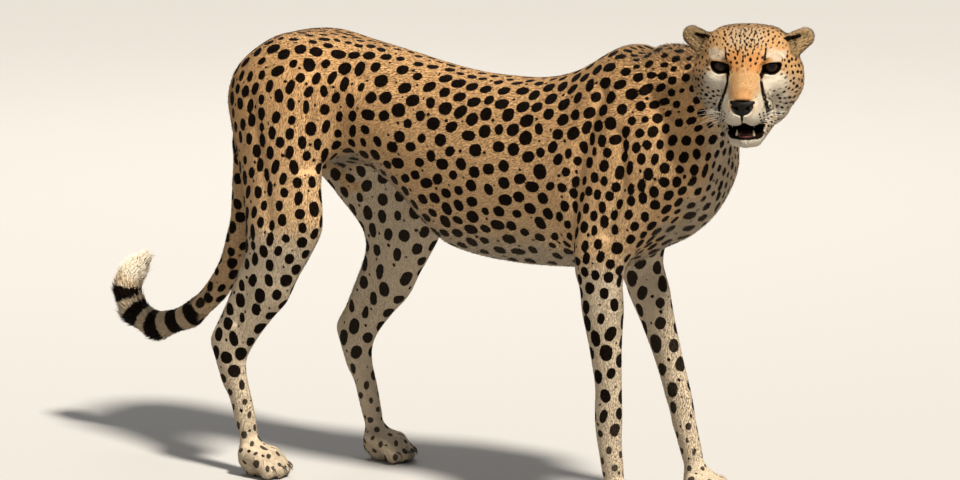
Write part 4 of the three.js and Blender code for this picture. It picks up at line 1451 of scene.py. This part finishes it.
def hair_plan():
    """Length, lift and density of the tufts at each skin vertex."""
    nape = on_spine * smooth(chest_high[0] - 220, chest_high[0] - 90, skin_points[:, 0])
    rear = smooth(0.3, 0.8, on_hind) * smooth(0.4, 0.9, -skin_normals[:, 0])
    end = smooth(tail_length * 0.6, tail_length * 0.9, tail_gone)
    face = smooth(0.2, 0.8, on_head)
    layers = [
        (on_neck, 8.5, 0.12, 1.1),
        (nape, 14, 0.26, 1.1),
        (on_breast, 9.5, 0.13, 1.1),
        (on_belly, 11, 0.16, 1.0),
        (leg_share * smooth(470, 300, floor_height), 6.5, 0.09, 1.3),
        (rear * smooth(200, 330, floor_height), 10, 0.2, 1.2),
        (leg_share * smooth(170, 60, floor_height), 4.8, 0.1, 1.8),
        (tail_share, 9, 0.14, 1.3),
        (tail_share * end, 19, 0.34, 1.6),
        (face, 6.5, 0.12, 2.6),
        (face * smooth(-75, -20, hx), 4.4, 0.1, 3.8),
        (face * patch(hside, hz, (66, -52), (26, 34)) * smooth(0, -30, hx), 8.5, 0.2, 3.0),
        (face * smooth(-104, -112, hz), 6, 0.2, 3.2),
        (face * smooth(14, 36, hx) * smooth(-30, -50, hz), 2.8, 0.1, 5.5),
        (smooth(12, 4, eye_lens) * in_front * face, 2.6, 0.12, 6.0),
        (on_ear, 5, 0.16, 3.8),
        (in_ear, 10, 0.4, 2.6),
    ]
    length, lift, density = layered((7.5, 0.085, 1.0), layers)
    bare = np.maximum.reduce(
        [
            smooth(1.6, 0.6, eye_lens) * in_front,
            smooth(2.0, 0.8, mouth_lens) * smooth(MOUTH_BACK - 6, MOUTH_BACK - 2, hx),
            smooth(2.2, 0.8, nose_distance(head_points)),
            smooth(3.0, 1.5, floor_height),
        ]
    )
    return length, lift, density * (1 - bare)


hair_length, hair_lift, hair_density = hair_plan()


# ---- the coat's map

CHART_GROUPS = [
    ("head", "jaw", "ear"),
    ("neck", "chest"),
    ("loin", "pelvis"),
    ("foreleg_upper_right", "foreleg_lower_right", "forepaw_right"),
    ("foreleg_upper_left", "foreleg_lower_left", "forepaw_left"),
    ("thigh_right", "shank_right", "hind_paw_right"),
    ("thigh_left", "shank_left", "hind_paw_left"),
    ("tail",),
]


def chart_of_faces(face_vertices, normals):
    """The chart of each face: its body part and the way it mostly looks."""
    group = np.zeros(len(face_vertices), int)
    for number, prefixes in enumerate(CHART_GROUPS):
        group[belongs(*prefixes)[face_vertices] > 0.5] = number
    axis = np.abs(normals).argmax(1)
    away = np.take_along_axis(normals, axis[:, None], 1)[:, 0] > 0
    return group * 6 + axis * 2 + away, axis


def packed_charts(points, charts, axis):
    """Flat coordinates of each face's point: every chart laid beside the others in a unit square."""
    plane = np.array([[1, 2], [0, 2], [0, 1]])[axis]
    flat = np.take_along_axis(points, plane, 1)
    gap = 8.0
    names = np.unique(charts)
    corners = {c: (flat[charts == c].min(0), flat[charts == c].max(0)) for c in names}
    order = sorted(names, key=lambda c: corners[c][0][1] - corners[c][1][1])
    side = 900.0
    while True:
        places, x, y, row = {}, gap, gap, 0.0
        for c in order:
            width, height = corners[c][1] - corners[c][0]
            if x + width + gap > side:
                x, y, row = gap, y + row + gap, 0.0
            places[c] = (x, y)
            x, row = x + width + gap, max(row, height)
        if y + row + gap <= side:
            break
        side *= 1.03
    shift = np.zeros_like(flat)
    for c in names:
        shift[charts == c] = np.array(places[c]) - corners[c][0]
    return (flat + shift) / side


# ---- tufts


def plant_tufts(count):
    """Roots spread over the skin: the face of each and the place inside it."""
    normals = face_normals(skin_points, skin_quads)
    area = np.linalg.norm(normals, axis=1) / 2
    chance = area * hair_density[skin_quads].mean(1)
    edges = np.cumsum(chance)
    even = (np.arange(count) + rng.random(count)) / count * edges[-1]
    faces = np.minimum(np.searchsorted(edges, even), len(skin_quads) - 1)
    u, v = rng.random((2, count, 1))
    weights = np.concatenate([(1 - u) * (1 - v), u * (1 - v), u * v, (1 - u) * v], 1)
    return faces, weights, normals


total = COAT_PIECES * TUFTS_PER_PIECE
tuft_faces, tuft_weights, skin_face_normals = plant_tufts(total)
tuft_corners = skin_quads[tuft_faces]


def at_roots(values):
    """Values of the skin's vertices, averaged to the tufts' roots."""
    if values.ndim == 1:
        return (values[tuft_corners] * tuft_weights).sum(1)
    return (values[tuft_corners] * tuft_weights[..., None]).sum(1)


ink_slope = vertex_slopes(ink)


def ink_at(points):
    """The depth inside the black marks where the skin is nearest to each point."""
    found = nearest_in(skin_tree, points)
    return ink[found] + rowdot(ink_slope[found], points - skin_points[found])


def grow_tufts():
    """Four points of each tuft (root, two sides, tip), their colours and their depths in black marks."""
    root = at_roots(skin_points)
    normal = unit(at_roots(skin_normals))
    ahead = at_roots(lie)
    ahead = unit(ahead - normal * rowdot(ahead, normal)[:, None])
    length = at_roots(hair_length)
    lift = at_roots(hair_lift)
    wild = np.clip(length / 12, 0.4, 1.4)
    sway = rng.normal(0, 0.13, (total, 1)) * wild[:, None]
    beside = np.cross(normal, ahead)
    ahead = unit(ahead + beside * sway)
    beside = np.cross(normal, ahead)
    length = length * rng.uniform(0.72, 1.22, total)
    lift = np.clip(lift * np.exp(rng.normal(0, 0.3, total)), 0.03, 0.9)
    width = (0.42 + 0.085 * length) * rng.uniform(0.8, 1.2, total)
    sunk = np.minimum(0.7, length * 0.12)
    start = root - normal * sunk[:, None] - ahead * (length * 0.08)[:, None]
    tip = root + ahead * (length * np.cos(lift))[:, None] + normal * (length * np.sin(lift))[:, None]
    middle = mix(start, tip, 0.42) + normal * (0.05 * length)[:, None]
    half = beside * (width / 2)[:, None]
    drop = normal * (0.18 * width)[:, None]
    points = np.stack([start, middle + half - drop, middle - half - drop, tip], 1)
    points[..., 2] = np.maximum(points[..., 2], LOWEST_HAIR)

    tone = np.exp(rng.normal(0, 0.09, (total, 1)))
    warmth = rng.normal(0, 0.04, (total, 1)) * np.array([0.4, 0.0, -1.0])
    colour = at_roots(hue) * tone * (1 + warmth)
    # Each tuft is darker at its root, painted shade where it sinks among the others, and lighter at its
    # raised tip, painted light.
    shades = np.array([0.84, 0.97, 0.97, 1.07])[None, :, None]
    colours = colour[:, None, :] * shades

    at_middle = ink_at(middle)
    depths = np.stack([at_roots(ink), at_middle, at_middle, ink_at(tip)], 1)
    depths += rng.normal(0, 0.4, (total, 1))
    return points, colours, depths


tuft_points, tuft_colours, tuft_ink = grow_tufts()
tuft_strength = at_roots(ink_strength)
tuft_charts, tuft_axis = chart_of_faces(skin_quads[tuft_faces, 0], skin_face_normals[tuft_faces])
tuft_places = packed_charts(at_roots(skin_points), tuft_charts, tuft_axis)
TUFT_FACES = np.array([[0, 3, 1], [0, 2, 3], [0, 1, 2], [1, 3, 2]])
TUFT_MAP = np.array([[-0.5, 0.0], [0.0, -0.5], [0.0, 0.5], [0.5, 0.0]]) * TUFT_PATCH


def coat_piece(number, material):
    """Every COAT_PIECES-th tuft as one mesh, so that each piece covers the whole body."""
    mine = np.arange(number, total, COAT_PIECES)
    points = tuft_points[mine].reshape(-1, 3)
    faces = (np.arange(len(mine))[:, None, None] * 4 + TUFT_FACES[None]).reshape(-1, 3)
    piece = make_mesh(f"coat_{number + 1}", points, faces, 3)
    strength = np.repeat(tuft_strength[mine], 4)
    dress(piece, tuft_colours[mine].reshape(-1, 3), tuft_ink[mine].ravel(), strength, material)
    flat = tuft_places[mine][:, None, :] + TUFT_MAP[None]
    uv = flat[:, TUFT_FACES.ravel()].reshape(-1, 2)
    layer = piece.data.uv_layers.new(name="OFBake")
    layer.uv.foreach_set("vector", uv.astype(np.float32).ravel())
    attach(piece, "root")


coat = coat_material()
for number in range(COAT_PIECES):
    coat_piece(number, coat)

# ---- camera, floor and light

CAMERA_TURN = 30.0  # degrees round from looking along +Y
CAMERA_HEIGHT = 10.0  # degrees above the horizon
CAMERA_DISTANCE = 7.0
CAMERA_LENS = 157.5
AIM_FROM_EYES = np.array([-535.6, 90.7, -339.0])  # from between the eyes to what the camera looks at


FLOOR_RADIUS = 80.0
FLOOR_DARK = (0.40, 0.39, 0.378)
FLOOR_LIGHT = (0.43, 0.42, 0.407)
SKY = (0.96, 0.97, 1.0, 1.0)
SKY_STRENGTH = 0.22

# Each light: kind, degrees round from the front, degrees above the horizon, size, power, colour.
# A sun's size is its angle in the sky and its power is per square metre.
LIGHTS = {
    "key": ("SUN", 68, 53, math.radians(8), 6.8, (1.0, 0.94, 0.84)),
    "fill": ("AREA", -5, 22, 3.5, 8, (0.95, 0.97, 1.0)),
    "back": ("AREA", 215, 40, 3.0, 70, (1.0, 0.97, 0.92)),
}
LIGHT_DISTANCE = 5.0
LIGHTS_AIM = Vector((0, 0, 0.4))


def looking(name, data, aim, turn, rise, distance):
    """Places a camera or a light so that it looks at a point from this many degrees round and up."""
    turn, rise = math.radians(turn), math.radians(rise)
    back = Vector((math.sin(turn) * math.cos(rise), -math.cos(turn) * math.cos(rise), math.sin(rise)))
    made = placed(name, data)
    made.location = aim + back * distance
    made.rotation_mode = "QUATERNION"
    made.rotation_quaternion = back.to_track_quat("Z", "Y")
    return made


def add_camera():
    data = bpy.data.cameras.new("camera")
    data.lens = CAMERA_LENS
    data.sensor_width = 36.0
    data.clip_end = 200.0
    aim = Vector(((eye_left + eye_right) / 2 + AIM_FROM_EYES) * MM)
    camera = looking("camera", data, aim, CAMERA_TURN, CAMERA_HEIGHT, CAMERA_DISTANCE)
    bpy.context.scene.camera = camera


def floor_material():
    """Plain matt paper, with a barely seen change of tone."""
    n = Nodes("floor_matte", roughness=0.9, specular_ior_level=0.1)
    tone = n.ranged(n.noise(3.0, 4.0), 0.3, 0.7, 0.985, 1.0)
    n.colour(n.blend(FLOOR_DARK, FLOOR_LIGHT, tone))
    return n.material


def add_floor():
    """A flat round floor that reaches far beyond every camera."""
    around = 96
    turns = np.linspace(0, 2 * math.pi, around, endpoint=False)
    points = [(FLOOR_RADIUS * math.cos(turn), FLOOR_RADIUS * math.sin(turn), 0.0) for turn in turns]
    mesh = bpy.data.meshes.new("floor")
    mesh.from_pydata(points, [], [list(range(around))])
    mesh.materials.append(floor_material())
    floor = placed("floor", mesh)


def add_lights():
    """Soft lights around the animal, and a pale even sky."""
    for name, (kind, turn, rise, size, power, colour) in LIGHTS.items():
        data = bpy.data.lights.new(name, kind)
        if kind == "SUN":
            data.angle = size
        else:
            data.shape = "DISK"
            data.size = size
        data.energy = power
        data.color = colour
        looking(name, data, LIGHTS_AIM, turn, rise, LIGHT_DISTANCE)
    world = bpy.data.worlds.new("studio")
    world.use_nodes = True
    background = world.node_tree.nodes["Background"]
    background.inputs["Color"].default_value = SKY
    background.inputs["Strength"].default_value = SKY_STRENGTH
    bpy.context.scene.world = world
    bpy.context.scene.view_settings.view_transform = "Standard"


add_camera()
add_floor()
add_lights()
